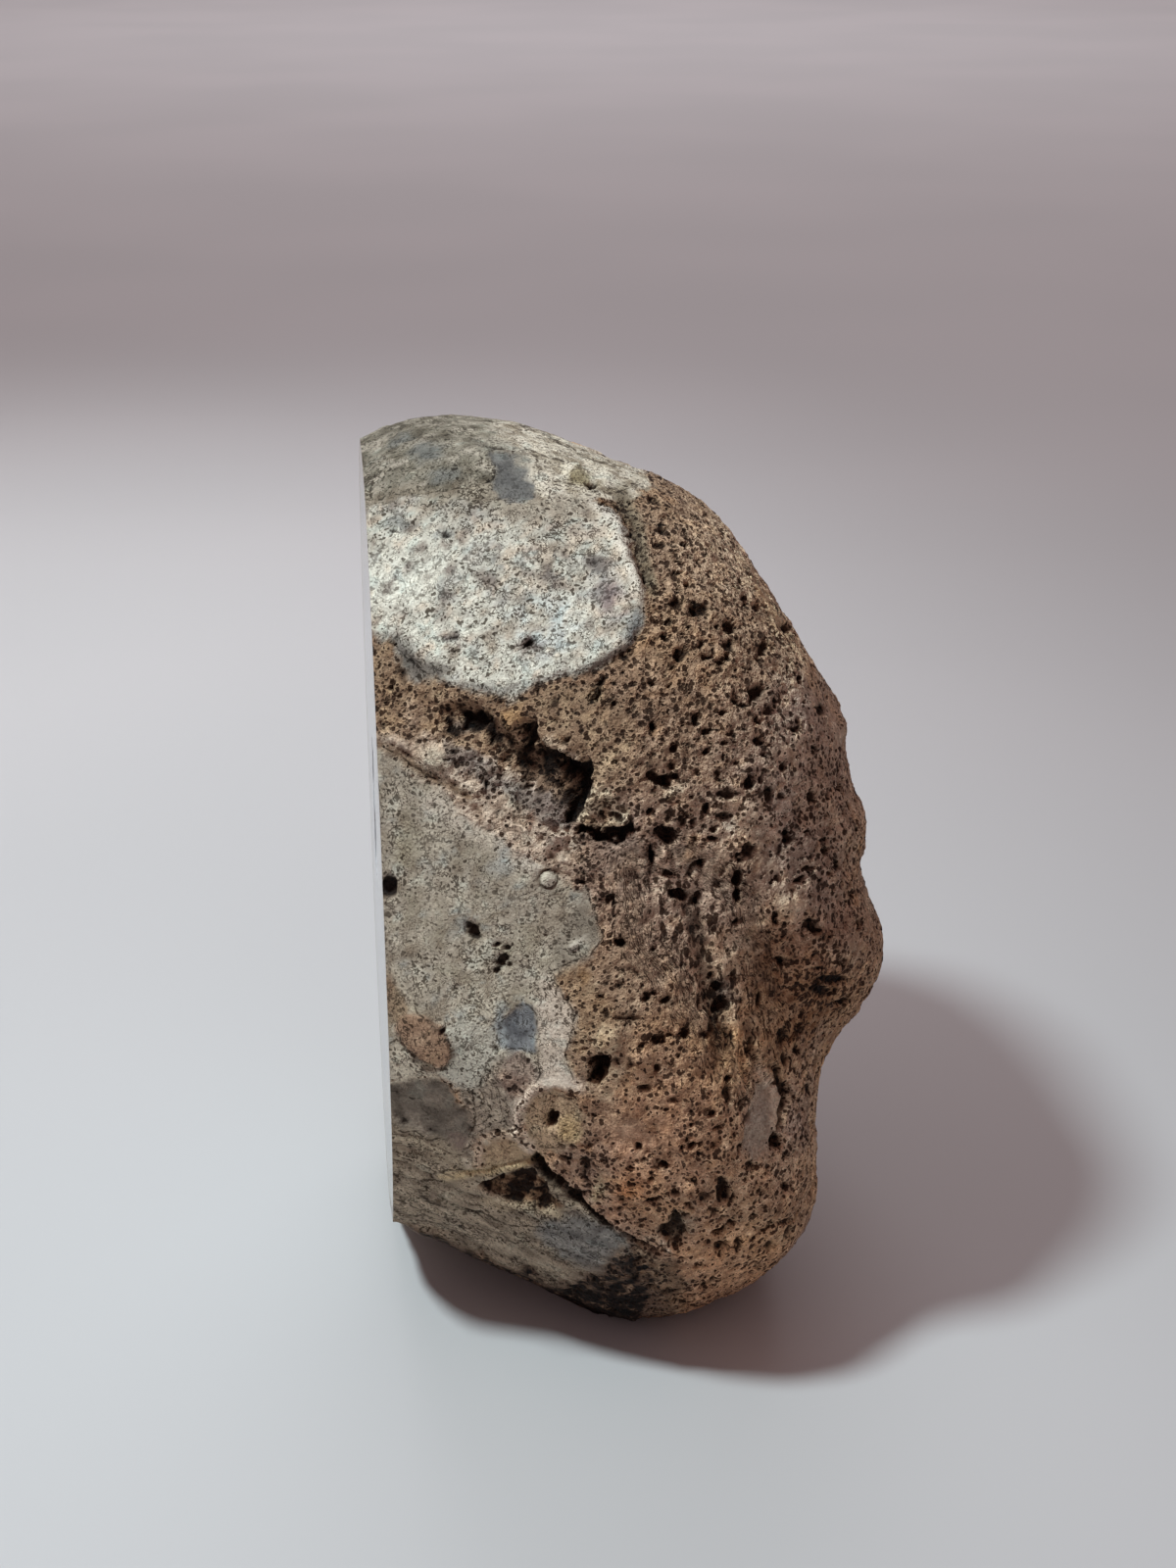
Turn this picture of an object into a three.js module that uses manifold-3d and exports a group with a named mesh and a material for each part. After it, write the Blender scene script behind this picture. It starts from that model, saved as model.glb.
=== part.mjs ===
// Half of a sawn agate nodule (a "sliced geode") that stands upright on a small flat on its underside.
// Units are millimetres, +Z is up, and the origin is the middle of the flat it stands on.
// The sawn, polished face is the vertical plane that looks along -X; everything else is the
// natural rind: a lumpy crust with a waist, knobs on its outer side, a diagonal furrow and hollows.
import * as THREE from 'three';
import { mergeVertices } from 'three/addons/utils/BufferGeometryUtils.js';
import Module from 'manifold-3d';

// ---------------------------------------------------------------- driving dimensions
const HEIGHT = 150;              // overall height above the flat (sets SCALE below)
const SCALE = HEIGHT / 150;      // the tables below are written for a 150 mm tall half
const CUT_X = -42.6;             // plane of the sawn face
const CENTRE = [-3.63, 9.15, 76.97];  // point inside the stone that the radii are measured from
const STEP_A = 10;               // degrees between the rows of RADII, counted from +X
const STEP_B = 12;               // degrees between the columns of RADII, counted from +Z towards -Y
const RINGS = 46;                // rings of the rind mesh from the outer side to behind the cut
const SPOKES = 64;               // points on each ring
const VUG = { y: 10, z: 80, half: [8.6, 6.4, 15.5], tilt: 14 };   // little hollow in the middle of the sawn face

// Distance from CENTRE to the rind, one row each STEP_A degrees away from +X.
const RADII = [
  [45.8, 45.8, 45.8, 45.8, 45.8, 45.8, 45.8, 45.8, 45.8, 45.8, 45.8, 45.8, 45.8, 45.8, 45.8, 45.8, 45.8, 45.8, 45.8, 45.8, 45.8, 45.8, 45.8, 45.8, 45.8, 45.8, 45.8, 45.8, 45.8, 45.8],
  [45.3, 45.3, 45.3, 45.8, 45.8, 46.3, 46.8, 47.3, 47.3, 47.3, 47.3, 47.3, 47.3, 47.3, 47.3, 47.7, 47.7, 47.7, 47.3, 47.3, 46.8, 46.3, 45.8, 45.8, 45.3, 45.3, 45.3, 45.3, 45.3, 45.3],
  [46.3, 46.3, 46.8, 46.8, 47.3, 47.7, 48.7, 49.2, 48.7, 49.2, 49.7, 50.2, 50.7, 51.2, 50.7, 50.2, 49.7, 49.2, 49.2, 49.2, 48.7, 47.7, 47.3, 46.8, 46.8, 46.3, 46.3, 45.8, 45.8, 45.8],
  [46.8, 47.7, 48.7, 49.2, 49.2, 50.2, 51.2, 51.2, 51.6, 53.6, 56, 56.5, 56.5, 56.5, 56.5, 56.5, 56, 54.6, 53.1, 52.1, 51.2, 50.2, 49.2, 48.7, 47.7, 46.8, 46.3, 46.3, 46.3, 46.8],
  [48.7, 49.2, 50.7, 52.1, 52.6, 52.6, 54.1, 54.1, 56.5, 59.4, 59.4, 58, 57, 56.5, 56.5, 57, 58.5, 59.9, 58.5, 56.5, 55.1, 53.1, 52.1, 51.2, 49.7, 48.7, 47.7, 47.7, 47.7, 48.2],
  [51.2, 52.1, 53.6, 55.1, 56, 56, 57, 57.5, 60.9, 60.9, 59.9, 58.9, 58.9, 58.5, 58.5, 58, 59.4, 62.8, 63.8, 62.4, 59.9, 57.5, 55.5, 54.1, 53.1, 52.1, 51.2, 50.7, 50.7, 50.7],
  [55.5, 56, 57.5, 58.9, 59.4, 58.9, 58.9, 60.4, 61.9, 61.4, 63.3, 67.7, 71.6, 72.6, 71.6, 70.2, 68.2, 68.2, 69.2, 67.2, 64.3, 60.4, 57.5, 56.5, 56, 55.5, 55.5, 55.1, 55.1, 55.1],
  [60.9, 61.9, 62.4, 62.8, 62.4, 61.4, 60.4, 61.4, 61.4, 65.8, 74.1, 80.9, 84.3, 83.8, 81.8, 80.4, 78.9, 75.5, 72.6, 70.2, 66.3, 61.9, 58.5, 57, 57.5, 58, 58.9, 59.4, 59.4, 59.9],
  [64.3, 65.8, 67.2, 66.7, 64.8, 62.4, 60.4, 60.4, 62.8, 69.7, 77, 83.3, 87.2, 87.7, 85.7, 83.8, 81.8, 77.9, 74.5, 70.6, 66.3, 61.9, 58.5, 57.5, 58, 59.9, 61.4, 62.8, 62.8, 63.3],
  [67.7, 68.7, 69.2, 68.2, 65.3, 61.9, 59.4, 58.9, 62.4, 67.7, 75.5, 82.3, 86.7, 87.7, 85.7, 83.3, 81.8, 78.9, 75, 70.6, 65.8, 60.9, 58, 57.5, 58.9, 61.4, 63.8, 65.8, 66.7, 67.2],
  [73.1, 73.6, 72.1, 69.2, 64.8, 60.9, 58.5, 58, 60.4, 65.3, 71.1, 77, 80.9, 82.3, 81.4, 79.9, 78.9, 78.4, 75, 70.6, 65.3, 60.9, 58, 57.5, 59.4, 62.8, 66.3, 69.2, 71.1, 73.1],
  [77.5, 77, 74.5, 70.2, 64.8, 60.9, 58.5, 58.5, 59.9, 63.3, 67.7, 72.6, 76.5, 78.9, 79.4, 79.4, 79.9, 78.4, 75, 70.6, 65.8, 61.4, 58.9, 58.5, 60.9, 64.8, 68.7, 72.1, 75, 77.5],
  [78.9, 77.9, 75, 70.2, 65.8, 61.9, 59.4, 59.4, 61.4, 64.8, 68.7, 73.1, 77, 80.4, 82.3, 83.3, 82.8, 79.4, 75, 71.1, 66.7, 62.8, 60.9, 60.9, 63.3, 67.2, 71.1, 74.5, 77.5, 79.4],
  [78.4, 77, 74.5, 70.6, 66.7, 63.8, 61.9, 61.9, 62.8, 66.3, 71.1, 76, 80.9, 84.3, 86.2, 85.7, 83.8, 79.4, 75.5, 71.6, 68.2, 65.3, 64.3, 64.3, 66.3, 69.2, 72.6, 75.5, 77.9, 79.4],
  [77, 76, 74.1, 71.1, 68.7, 66.3, 64.8, 64.8, 65.3, 68.2, 72.1, 76, 80.4, 82.8, 84.3, 83.3, 81.8, 79.4, 76, 73.1, 70.2, 68.2, 67.2, 67.7, 69.2, 71.1, 73.6, 76, 77.5, 77.5],
  [75, 74.5, 73.1, 71.6, 70.2, 68.7, 67.7, 68.2, 68.7, 70.2, 72.6, 75.5, 77.9, 79.4, 80.4, 79.9, 79.4, 77.9, 76, 74.1, 72.1, 70.6, 69.7, 70.2, 71.1, 72.6, 74.1, 75, 75.5, 75.5]
];

// Lumps (height > 0) and hollows (height < 0): a round-ended stroke from one point to another,
// [x1, y1, z1, x2, y2, z2, half width, height].
const RELIEF = [
  [-34.3, 22.7, 147.8, -34.3, 22.7, 147.8, 5.8, 0.68],
  [-25, 18.3, 149.6, -25, 18.3, 149.6, 5.8, -0.19],
  [-14.6, 22.6, 147.3, -14.6, 22.6, 147.3, 5.8, -0.49],
  [3.5, 20.3, 140.4, 3.5, 20.3, 140.4, 5.8, -0.68],
  [11.4, 13, 137.8, 11.4, 13, 137.8, 5.8, 0.49],
  [18.4, 7.4, 133.2, 18.4, 7.4, 133.2, 5.8, -0.78],
  [24.4, 6.9, 124.7, 24.4, 6.9, 124.7, 5.8, -0.29],
  [32.5, -7.8, 111.5, 32.5, -7.8, 111.5, 5.8, -0.29],
  [36.6, -10.5, 103.2, 36.6, -10.5, 103.2, 5.8, 0.39],
  [38.4, -12.9, 94.6, 38.4, -12.9, 94.6, 5.8, -0.68],
  [41, -14, 84.5, 41, -14, 84.5, 5.8, 0.68],
  [40.6, -18.9, 75.2, 40.6, -18.9, 75.2, 5.8, -1.46],
  [44.7, -15.5, 63.4, 44.7, -15.5, 63.4, 5.8, 0.39],
  [42, -24.4, 58.6, 42, -24.4, 58.6, 5.8, -0.49],
  [35.7, -26.9, 51.6, 35.7, -26.9, 51.6, 5.8, 0.49],
  [32.6, -26.9, 39.8, 32.6, -26.9, 39.8, 5.8, -2.05],
  [32.1, -28.2, 28.8, 32.1, -28.2, 28.8, 5.8, -1.95],
  [29.9, -33.9, 23.2, 29.9, -33.9, 23.2, 5.8, 1.95],
  [25.9, -37.8, 14.4, 25.9, -37.8, 14.4, 5.8, -1.07],
  [18.3, -38.1, 7.5, 18.3, -38.1, 7.5, 5.8, -0.29],
  [1.4, -36.8, 1.9, 1.4, -36.8, 1.9, 5.8, 0.58],
  [-7.7, -34.8, 2.7, -7.7, -34.8, 2.7, 5.8, -0.49],
  [-16.2, -30.2, 5.4, -16.2, -30.2, 5.4, 5.8, -0.49],
  [-25, -25.7, 8.6, -25, -25.7, 8.6, 5.8, 0.29],
  [-42.6, -11.4, 10, -42.6, -11.4, 10, 5.8, -2.14],
  [-30.3, -35.7, 114.8, -22.3, -40.2, 108.7, 4.9, -1.95],
  [-19.4, -41.6, 106.4, -11.2, -45, 100.2, 4.5, -3.31],
  [-10.3, -42.5, 110.8, -6.7, -44.7, 105.7, 5.8, 2.14],
  [-28.5, -26.3, 134.2, -15.2, -32.1, 130.7, 14.6, -2.34],
  [-5.3, -16.1, 141.8, -1.3, -31.5, 131.2, 4.4, 0.97],
  [-41.8, -32.8, 107.7, -28.5, -39.7, 102.8, 4.4, -0.78],
  [4.4, -49.6, 85.6, 11.3, -52.7, 64.4, 7.8, -1.95],
  [18, -51.8, 51.9, 20, -52.4, 43, 4.9, -1.75],
  [-36.7, -43.3, 67.6, -35.9, -44.1, 61.9, 4.5, 1.27],
  [-9.1, -52.4, 66.4, -8.7, -53.1, 63.7, 4.5, 1.56],
  [-19.1, -49.7, 41.3, -5.3, -54.9, 32.8, 4.4, -1.36],
  [-40.8, -41.6, 49.1, -26.8, -46.2, 47.1, 4.9, -0.97],
  [-20.6, -49.6, 55.8, -14.6, -52.4, 48, 5.8, 0.97],
  [2.3, -55.6, 59.4, 7, -57.2, 45.8, 8.8, 1.46],
  [-3.4, -50.3, 79.6, -2.2, -53.2, 69, 6.8, 0.97],
  [23, -29.6, 115.4, 23.8, -34.8, 107.2, 8.8, 0.97]
];

// ---------------------------------------------------------------- the rind as a distance from CENTRE
const nCol = RADII[0].length;
const nRow = RADII.length;
function tableAt(i, j) {
  const jj = ((j % nCol) + nCol) % nCol;
  if (i < 0) return RADII[-i][(jj + nCol / 2) % nCol];
  return RADII[Math.min(i, nRow - 1)][jj];
}
function catmull(a, b, c, d, t) {
  return 0.5 * (2 * b + (c - a) * t + (2 * a - 5 * b + 4 * c - d) * t * t + (3 * b - a - 3 * c + d) * t * t * t);
}
function tableRadius(alphaDeg, betaDeg) {
  const u = Math.min(alphaDeg / STEP_A, nRow - 1 + 0.999);
  const v = betaDeg / STEP_B;
  const i = Math.min(Math.floor(u), nRow - 1);
  const j = Math.floor(v);
  const row = [];
  for (let k = -1; k <= 2; k++) {
    row.push(catmull(tableAt(i + k, j - 1), tableAt(i + k, j), tableAt(i + k, j + 1), tableAt(i + k, j + 2), v - j));
  }
  return catmull(row[0], row[1], row[2], row[3], u - i);
}
function rindPoint(alphaDeg, betaDeg) {
  const a = THREE.MathUtils.degToRad(alphaDeg);
  const b = THREE.MathUtils.degToRad(betaDeg);
  const dir = new THREE.Vector3(Math.cos(a), -Math.sin(a) * Math.sin(b), Math.sin(a) * Math.cos(b));
  const centre = new THREE.Vector3(...CENTRE);
  let r = tableRadius(alphaDeg, betaDeg);
  const p = centre.clone().addScaledVector(dir, r);
  const from = new THREE.Vector3();
  const to = new THREE.Vector3();
  const near = new THREE.Vector3();
  for (const [x1, y1, z1, x2, y2, z2, width, height] of RELIEF) {
    from.set(x1, y1, z1);
    to.set(x2, y2, z2);
    const line = new THREE.Line3(from, to);
    if (from.distanceToSquared(to) > 0) line.closestPointToPoint(p, true, near);
    else near.copy(from);
    r += height * Math.exp(-near.distanceToSquared(p) / (2 * width * width));
  }
  return centre.addScaledVector(dir, r).multiplyScalar(SCALE);
}

function rindGeometry() {
  const positions = [];
  const index = [];
  positions.push(...rindPoint(0, 0).toArray());
  for (let i = 1; i < RINGS; i++) {
    for (let j = 0; j < SPOKES; j++) {
      positions.push(...rindPoint((180 * i) / RINGS, (360 * j) / SPOKES).toArray());
    }
  }
  const last = positions.length / 3;
  positions.push(...rindPoint(180, 0).toArray());
  const at = (i, j) => 1 + (i - 1) * SPOKES + (j % SPOKES);
  for (let j = 0; j < SPOKES; j++) {
    index.push(0, at(1, j), at(1, j + 1));
    index.push(last, at(RINGS - 1, j + 1), at(RINGS - 1, j));
    for (let i = 1; i < RINGS - 1; i++) {
      index.push(at(i, j), at(i + 1, j), at(i + 1, j + 1));
      index.push(at(i, j), at(i + 1, j + 1), at(i, j + 1));
    }
  }
  const g = new THREE.BufferGeometry();
  g.setAttribute('position', new THREE.Float32BufferAttribute(positions, 3));
  g.setIndex(index);
  return g;
}

// The hollow: a lumpy ellipsoid that the saw opened, wider inside the lip on one side.
function vugGeometry() {
  const g = new THREE.IcosahedronGeometry(1, 3);
  const p = g.getAttribute('position');
  const v = new THREE.Vector3();
  for (let i = 0; i < p.count; i++) {
    v.fromBufferAttribute(p, i).normalize();
    const bump = 1 + 0.10 * Math.sin(5.1 * v.y + 3.7 * v.z + 1.1) + 0.07 * Math.sin(7.3 * v.z - 4.1 * v.x + 0.4)
      + 0.05 * Math.sin(9.7 * v.y - 6.1 * v.z);
    p.setXYZ(i, v.x * bump * VUG.half[0], v.y * bump * VUG.half[1], v.z * bump * VUG.half[2]);
  }
  g.rotateX(THREE.MathUtils.degToRad(VUG.tilt));
  g.translate(CUT_X, VUG.y, VUG.z);
  g.scale(SCALE, SCALE, SCALE);
  return g;
}

// ---------------------------------------------------------------- sawing
const wasm = await Module();
wasm.setup();
function solid(geometry) {
  geometry.deleteAttribute('normal');
  geometry.deleteAttribute('uv');
  const g = mergeVertices(geometry, 1e-4);
  return new wasm.Manifold(new wasm.Mesh({
    numProp: 3,
    vertProperties: new Float32Array(g.getAttribute('position').array),
    triVerts: new Uint32Array(g.getIndex().array),
  }));
}
function block(x0, x1, y0, y1, z0, z1) {
  const g = new THREE.BoxGeometry(x1 - x0, y1 - y0, z1 - z0);
  g.translate((x0 + x1) / 2, (y0 + y1) / 2, (z0 + z1) / 2);
  g.scale(SCALE, SCALE, SCALE);
  return solid(g);
}
const sawn = solid(rindGeometry())
  .subtract(block(-200, CUT_X, -200, 200, -100, 300))   // the saw cut
  .subtract(block(-300, 300, -300, 300, -100, 0))       // the flat it stands on
  .subtract(solid(vugGeometry()));

const mesh = sawn.getMesh();
const half = new THREE.BufferGeometry();
const xyz = new Float32Array(mesh.numVert * 3);
for (let i = 0; i < mesh.numVert; i++) {
  for (let k = 0; k < 3; k++) xyz[3 * i + k] = mesh.vertProperties[i * mesh.numProp + k];
}
half.setAttribute('position', new THREE.BufferAttribute(xyz, 3));
half.setIndex(new THREE.BufferAttribute(new Uint32Array(mesh.triVerts), 1));
half.computeVertexNormals();

const stone = new THREE.Mesh(half, new THREE.MeshStandardMaterial({
  color: new THREE.Color(0.45, 0.38, 0.31), roughness: 0.9, metalness: 0,
}));
stone.name = 'geode_half';

const part = new THREE.Group();
part.add(stone);
export default part;
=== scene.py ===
import bpy
import math
import time
import numpy as np
from mathutils import Matrix, Vector
from mathutils.geometry import delaunay_2d_cdt


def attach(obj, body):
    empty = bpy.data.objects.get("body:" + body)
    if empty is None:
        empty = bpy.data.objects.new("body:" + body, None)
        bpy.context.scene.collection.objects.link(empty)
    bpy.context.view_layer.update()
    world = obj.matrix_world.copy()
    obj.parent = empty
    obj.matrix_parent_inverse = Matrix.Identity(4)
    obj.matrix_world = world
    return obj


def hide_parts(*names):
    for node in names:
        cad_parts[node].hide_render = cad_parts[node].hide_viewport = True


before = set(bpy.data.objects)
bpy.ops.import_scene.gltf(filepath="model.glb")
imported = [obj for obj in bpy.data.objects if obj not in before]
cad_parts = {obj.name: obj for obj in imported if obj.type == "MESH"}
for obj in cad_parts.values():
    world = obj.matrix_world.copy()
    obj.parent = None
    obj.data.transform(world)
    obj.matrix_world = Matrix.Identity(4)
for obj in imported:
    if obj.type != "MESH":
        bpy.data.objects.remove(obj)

T0 = time.time()
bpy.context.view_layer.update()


def tick(what):
    print("%6.1f s  %s" % (time.time() - T0, what))


# =====================================================================================
# 1. The stone's common shape, in millimetres, the same as the solid in the frame:
#    a distance from CENTRE for every direction, and broad lumps and hollows on it.
# =====================================================================================
CUT_X = -42.6
CENTRE = np.array([-3.63, 9.15, 76.97])
STEP_A, STEP_B = 10.0, 12.0
RADII = np.array([
  [45.8, 45.8, 45.8, 45.8, 45.8, 45.8, 45.8, 45.8, 45.8, 45.8, 45.8, 45.8, 45.8, 45.8, 45.8, 45.8, 45.8, 45.8, 45.8, 45.8, 45.8, 45.8, 45.8, 45.8, 45.8, 45.8, 45.8, 45.8, 45.8, 45.8],
  [45.3, 45.3, 45.3, 45.8, 45.8, 46.3, 46.8, 47.3, 47.3, 47.3, 47.3, 47.3, 47.3, 47.3, 47.3, 47.7, 47.7, 47.7, 47.3, 47.3, 46.8, 46.3, 45.8, 45.8, 45.3, 45.3, 45.3, 45.3, 45.3, 45.3],
  [46.3, 46.3, 46.8, 46.8, 47.3, 47.7, 48.7, 49.2, 48.7, 49.2, 49.7, 50.2, 50.7, 51.2, 50.7, 50.2, 49.7, 49.2, 49.2, 49.2, 48.7, 47.7, 47.3, 46.8, 46.8, 46.3, 46.3, 45.8, 45.8, 45.8],
  [46.8, 47.7, 48.7, 49.2, 49.2, 50.2, 51.2, 51.2, 51.6, 53.6, 56, 56.5, 56.5, 56.5, 56.5, 56.5, 56, 54.6, 53.1, 52.1, 51.2, 50.2, 49.2, 48.7, 47.7, 46.8, 46.3, 46.3, 46.3, 46.8],
  [48.7, 49.2, 50.7, 52.1, 52.6, 52.6, 54.1, 54.1, 56.5, 59.4, 59.4, 58, 57, 56.5, 56.5, 57, 58.5, 59.9, 58.5, 56.5, 55.1, 53.1, 52.1, 51.2, 49.7, 48.7, 47.7, 47.7, 47.7, 48.2],
  [51.2, 52.1, 53.6, 55.1, 56, 56, 57, 57.5, 60.9, 60.9, 59.9, 58.9, 58.9, 58.5, 58.5, 58, 59.4, 62.8, 63.8, 62.4, 59.9, 57.5, 55.5, 54.1, 53.1, 52.1, 51.2, 50.7, 50.7, 50.7],
  [55.5, 56, 57.5, 58.9, 59.4, 58.9, 58.9, 60.4, 61.9, 61.4, 63.3, 67.7, 71.6, 72.6, 71.6, 70.2, 68.2, 68.2, 69.2, 67.2, 64.3, 60.4, 57.5, 56.5, 56, 55.5, 55.5, 55.1, 55.1, 55.1],
  [60.9, 61.9, 62.4, 62.8, 62.4, 61.4, 60.4, 61.4, 61.4, 65.8, 74.1, 80.9, 84.3, 83.8, 81.8, 80.4, 78.9, 75.5, 72.6, 70.2, 66.3, 61.9, 58.5, 57, 57.5, 58, 58.9, 59.4, 59.4, 59.9],
  [64.3, 65.8, 67.2, 66.7, 64.8, 62.4, 60.4, 60.4, 62.8, 69.7, 77, 83.3, 87.2, 87.7, 85.7, 83.8, 81.8, 77.9, 74.5, 70.6, 66.3, 61.9, 58.5, 57.5, 58, 59.9, 61.4, 62.8, 62.8, 63.3],
  [67.7, 68.7, 69.2, 68.2, 65.3, 61.9, 59.4, 58.9, 62.4, 67.7, 75.5, 82.3, 86.7, 87.7, 85.7, 83.3, 81.8, 78.9, 75, 70.6, 65.8, 60.9, 58, 57.5, 58.9, 61.4, 63.8, 65.8, 66.7, 67.2],
  [73.1, 73.6, 72.1, 69.2, 64.8, 60.9, 58.5, 58, 60.4, 65.3, 71.1, 77, 80.9, 82.3, 81.4, 79.9, 78.9, 78.4, 75, 70.6, 65.3, 60.9, 58, 57.5, 59.4, 62.8, 66.3, 69.2, 71.1, 73.1],
  [77.5, 77, 74.5, 70.2, 64.8, 60.9, 58.5, 58.5, 59.9, 63.3, 67.7, 72.6, 76.5, 78.9, 79.4, 79.4, 79.9, 78.4, 75, 70.6, 65.8, 61.4, 58.9, 58.5, 60.9, 64.8, 68.7, 72.1, 75, 77.5],
  [78.9, 77.9, 75, 70.2, 65.8, 61.9, 59.4, 59.4, 61.4, 64.8, 68.7, 73.1, 77, 80.4, 82.3, 83.3, 82.8, 79.4, 75, 71.1, 66.7, 62.8, 60.9, 60.9, 63.3, 67.2, 71.1, 74.5, 77.5, 79.4],
  [78.4, 77, 74.5, 70.6, 66.7, 63.8, 61.9, 61.9, 62.8, 66.3, 71.1, 76, 80.9, 84.3, 86.2, 85.7, 83.8, 79.4, 75.5, 71.6, 68.2, 65.3, 64.3, 64.3, 66.3, 69.2, 72.6, 75.5, 77.9, 79.4],
  [77, 76, 74.1, 71.1, 68.7, 66.3, 64.8, 64.8, 65.3, 68.2, 72.1, 76, 80.4, 82.8, 84.3, 83.3, 81.8, 79.4, 76, 73.1, 70.2, 68.2, 67.2, 67.7, 69.2, 71.1, 73.6, 76, 77.5, 77.5],
  [75, 74.5, 73.1, 71.6, 70.2, 68.7, 67.7, 68.2, 68.7, 70.2, 72.6, 75.5, 77.9, 79.4, 80.4, 79.9, 79.4, 77.9, 76, 74.1, 72.1, 70.6, 69.7, 70.2, 71.1, 72.6, 74.1, 75, 75.5, 75.5]
])
RELIEF = [
  (-34.3, 22.7, 147.8, -34.3, 22.7, 147.8, 5.8, 0.68),
  (-25, 18.3, 149.6, -25, 18.3, 149.6, 5.8, -0.19),
  (-14.6, 22.6, 147.3, -14.6, 22.6, 147.3, 5.8, -0.49),
  (3.5, 20.3, 140.4, 3.5, 20.3, 140.4, 5.8, -0.68),
  (11.4, 13, 137.8, 11.4, 13, 137.8, 5.8, 0.49),
  (18.4, 7.4, 133.2, 18.4, 7.4, 133.2, 5.8, -0.78),
  (24.4, 6.9, 124.7, 24.4, 6.9, 124.7, 5.8, -0.29),
  (32.5, -7.8, 111.5, 32.5, -7.8, 111.5, 5.8, -0.29),
  (36.6, -10.5, 103.2, 36.6, -10.5, 103.2, 5.8, 0.39),
  (38.4, -12.9, 94.6, 38.4, -12.9, 94.6, 5.8, -0.68),
  (41, -14, 84.5, 41, -14, 84.5, 5.8, 0.68),
  (40.6, -18.9, 75.2, 40.6, -18.9, 75.2, 5.8, -1.46),
  (44.7, -15.5, 63.4, 44.7, -15.5, 63.4, 5.8, 0.39),
  (42, -24.4, 58.6, 42, -24.4, 58.6, 5.8, -0.49),
  (35.7, -26.9, 51.6, 35.7, -26.9, 51.6, 5.8, 0.49),
  (32.6, -26.9, 39.8, 32.6, -26.9, 39.8, 5.8, -2.05),
  (32.1, -28.2, 28.8, 32.1, -28.2, 28.8, 5.8, -1.95),
  (29.9, -33.9, 23.2, 29.9, -33.9, 23.2, 5.8, 1.95),
  (25.9, -37.8, 14.4, 25.9, -37.8, 14.4, 5.8, -1.07),
  (18.3, -38.1, 7.5, 18.3, -38.1, 7.5, 5.8, -0.29),
  (1.4, -36.8, 1.9, 1.4, -36.8, 1.9, 5.8, 0.58),
  (-7.7, -34.8, 2.7, -7.7, -34.8, 2.7, 5.8, -0.49),
  (-16.2, -30.2, 5.4, -16.2, -30.2, 5.4, 5.8, -0.49),
  (-25, -25.7, 8.6, -25, -25.7, 8.6, 5.8, 0.29),
  (-42.6, -11.4, 10, -42.6, -11.4, 10, 5.8, -2.14),
  (-30.3, -35.7, 114.8, -22.3, -40.2, 108.7, 4.9, -1.95),
  (-19.4, -41.6, 106.4, -11.2, -45, 100.2, 4.5, -3.31),
  (-10.3, -42.5, 110.8, -6.7, -44.7, 105.7, 5.8, 2.14),
  (-28.5, -26.3, 134.2, -15.2, -32.1, 130.7, 14.6, -2.34),
  (-5.3, -16.1, 141.8, -1.3, -31.5, 131.2, 4.4, 0.97),
  (-41.8, -32.8, 107.7, -28.5, -39.7, 102.8, 4.4, -0.78),
  (4.4, -49.6, 85.6, 11.3, -52.7, 64.4, 7.8, -1.95),
  (18, -51.8, 51.9, 20, -52.4, 43, 4.9, -1.75),
  (-36.7, -43.3, 67.6, -35.9, -44.1, 61.9, 4.5, 1.27),
  (-9.1, -52.4, 66.4, -8.7, -53.1, 63.7, 4.5, 1.56),
  (-19.1, -49.7, 41.3, -5.3, -54.9, 32.8, 4.4, -1.36),
  (-40.8, -41.6, 49.1, -26.8, -46.2, 47.1, 4.9, -0.97),
  (-20.6, -49.6, 55.8, -14.6, -52.4, 48, 5.8, 0.97),
  (2.3, -55.6, 59.4, 7, -57.2, 45.8, 8.8, 1.46),
  (-3.4, -50.3, 79.6, -2.2, -53.2, 69, 6.8, 0.97),
  (23, -29.6, 115.4, 23.8, -34.8, 107.2, 8.8, 0.97)
]

# The viewpoint: millimetres, looking mostly along +Y and down.
CAM_POS = np.array([-49.52, -380.59, 241.15])
CAM_PITCH, CAM_YAW, CAM_F = 21.8, 6.62, 2400.0      # degrees down, degrees to the right, pixels at 1200 x 1600
_t, _p = math.radians(CAM_PITCH), math.radians(CAM_YAW)
CAM_FWD = np.array([math.sin(_p) * math.cos(_t), math.cos(_p) * math.cos(_t), -math.sin(_t)])
CAM_RIGHT = np.array([math.cos(_p), -math.sin(_p), 0.0])
CAM_UP = np.array([math.sin(_p) * math.sin(_t), math.cos(_p) * math.sin(_t), math.cos(_t)])


def to_px(P):
    """Where a point shows in the 1200 x 1600 frame."""
    v = P - CAM_POS
    d = v @ CAM_FWD
    return 600 + CAM_F * (v @ CAM_RIGHT) / d, 800 - CAM_F * (v @ CAM_UP) / d


def sstep(x, a, b):
    t = np.clip((x - a) / (b - a), 0.0, 1.0)
    return t * t * (3 - 2 * t)


# ---------------------------------------------------------------- base shape
_nr, _nc = RADII.shape
_ext = np.concatenate([np.roll(RADII[1:2], _nc // 2, axis=1), RADII, RADII[-1:], RADII[-1:]], 0)


def _cr(a, b, c, d, t):
    return 0.5 * (2 * b + (c - a) * t + (2 * a - 5 * b + 4 * c - d) * t * t + (3 * b - a - 3 * c + d) * t ** 3)


def directions(alpha, beta):
    return np.stack([np.cos(alpha), -np.sin(alpha) * np.sin(beta), np.sin(alpha) * np.cos(beta)], -1)


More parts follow.
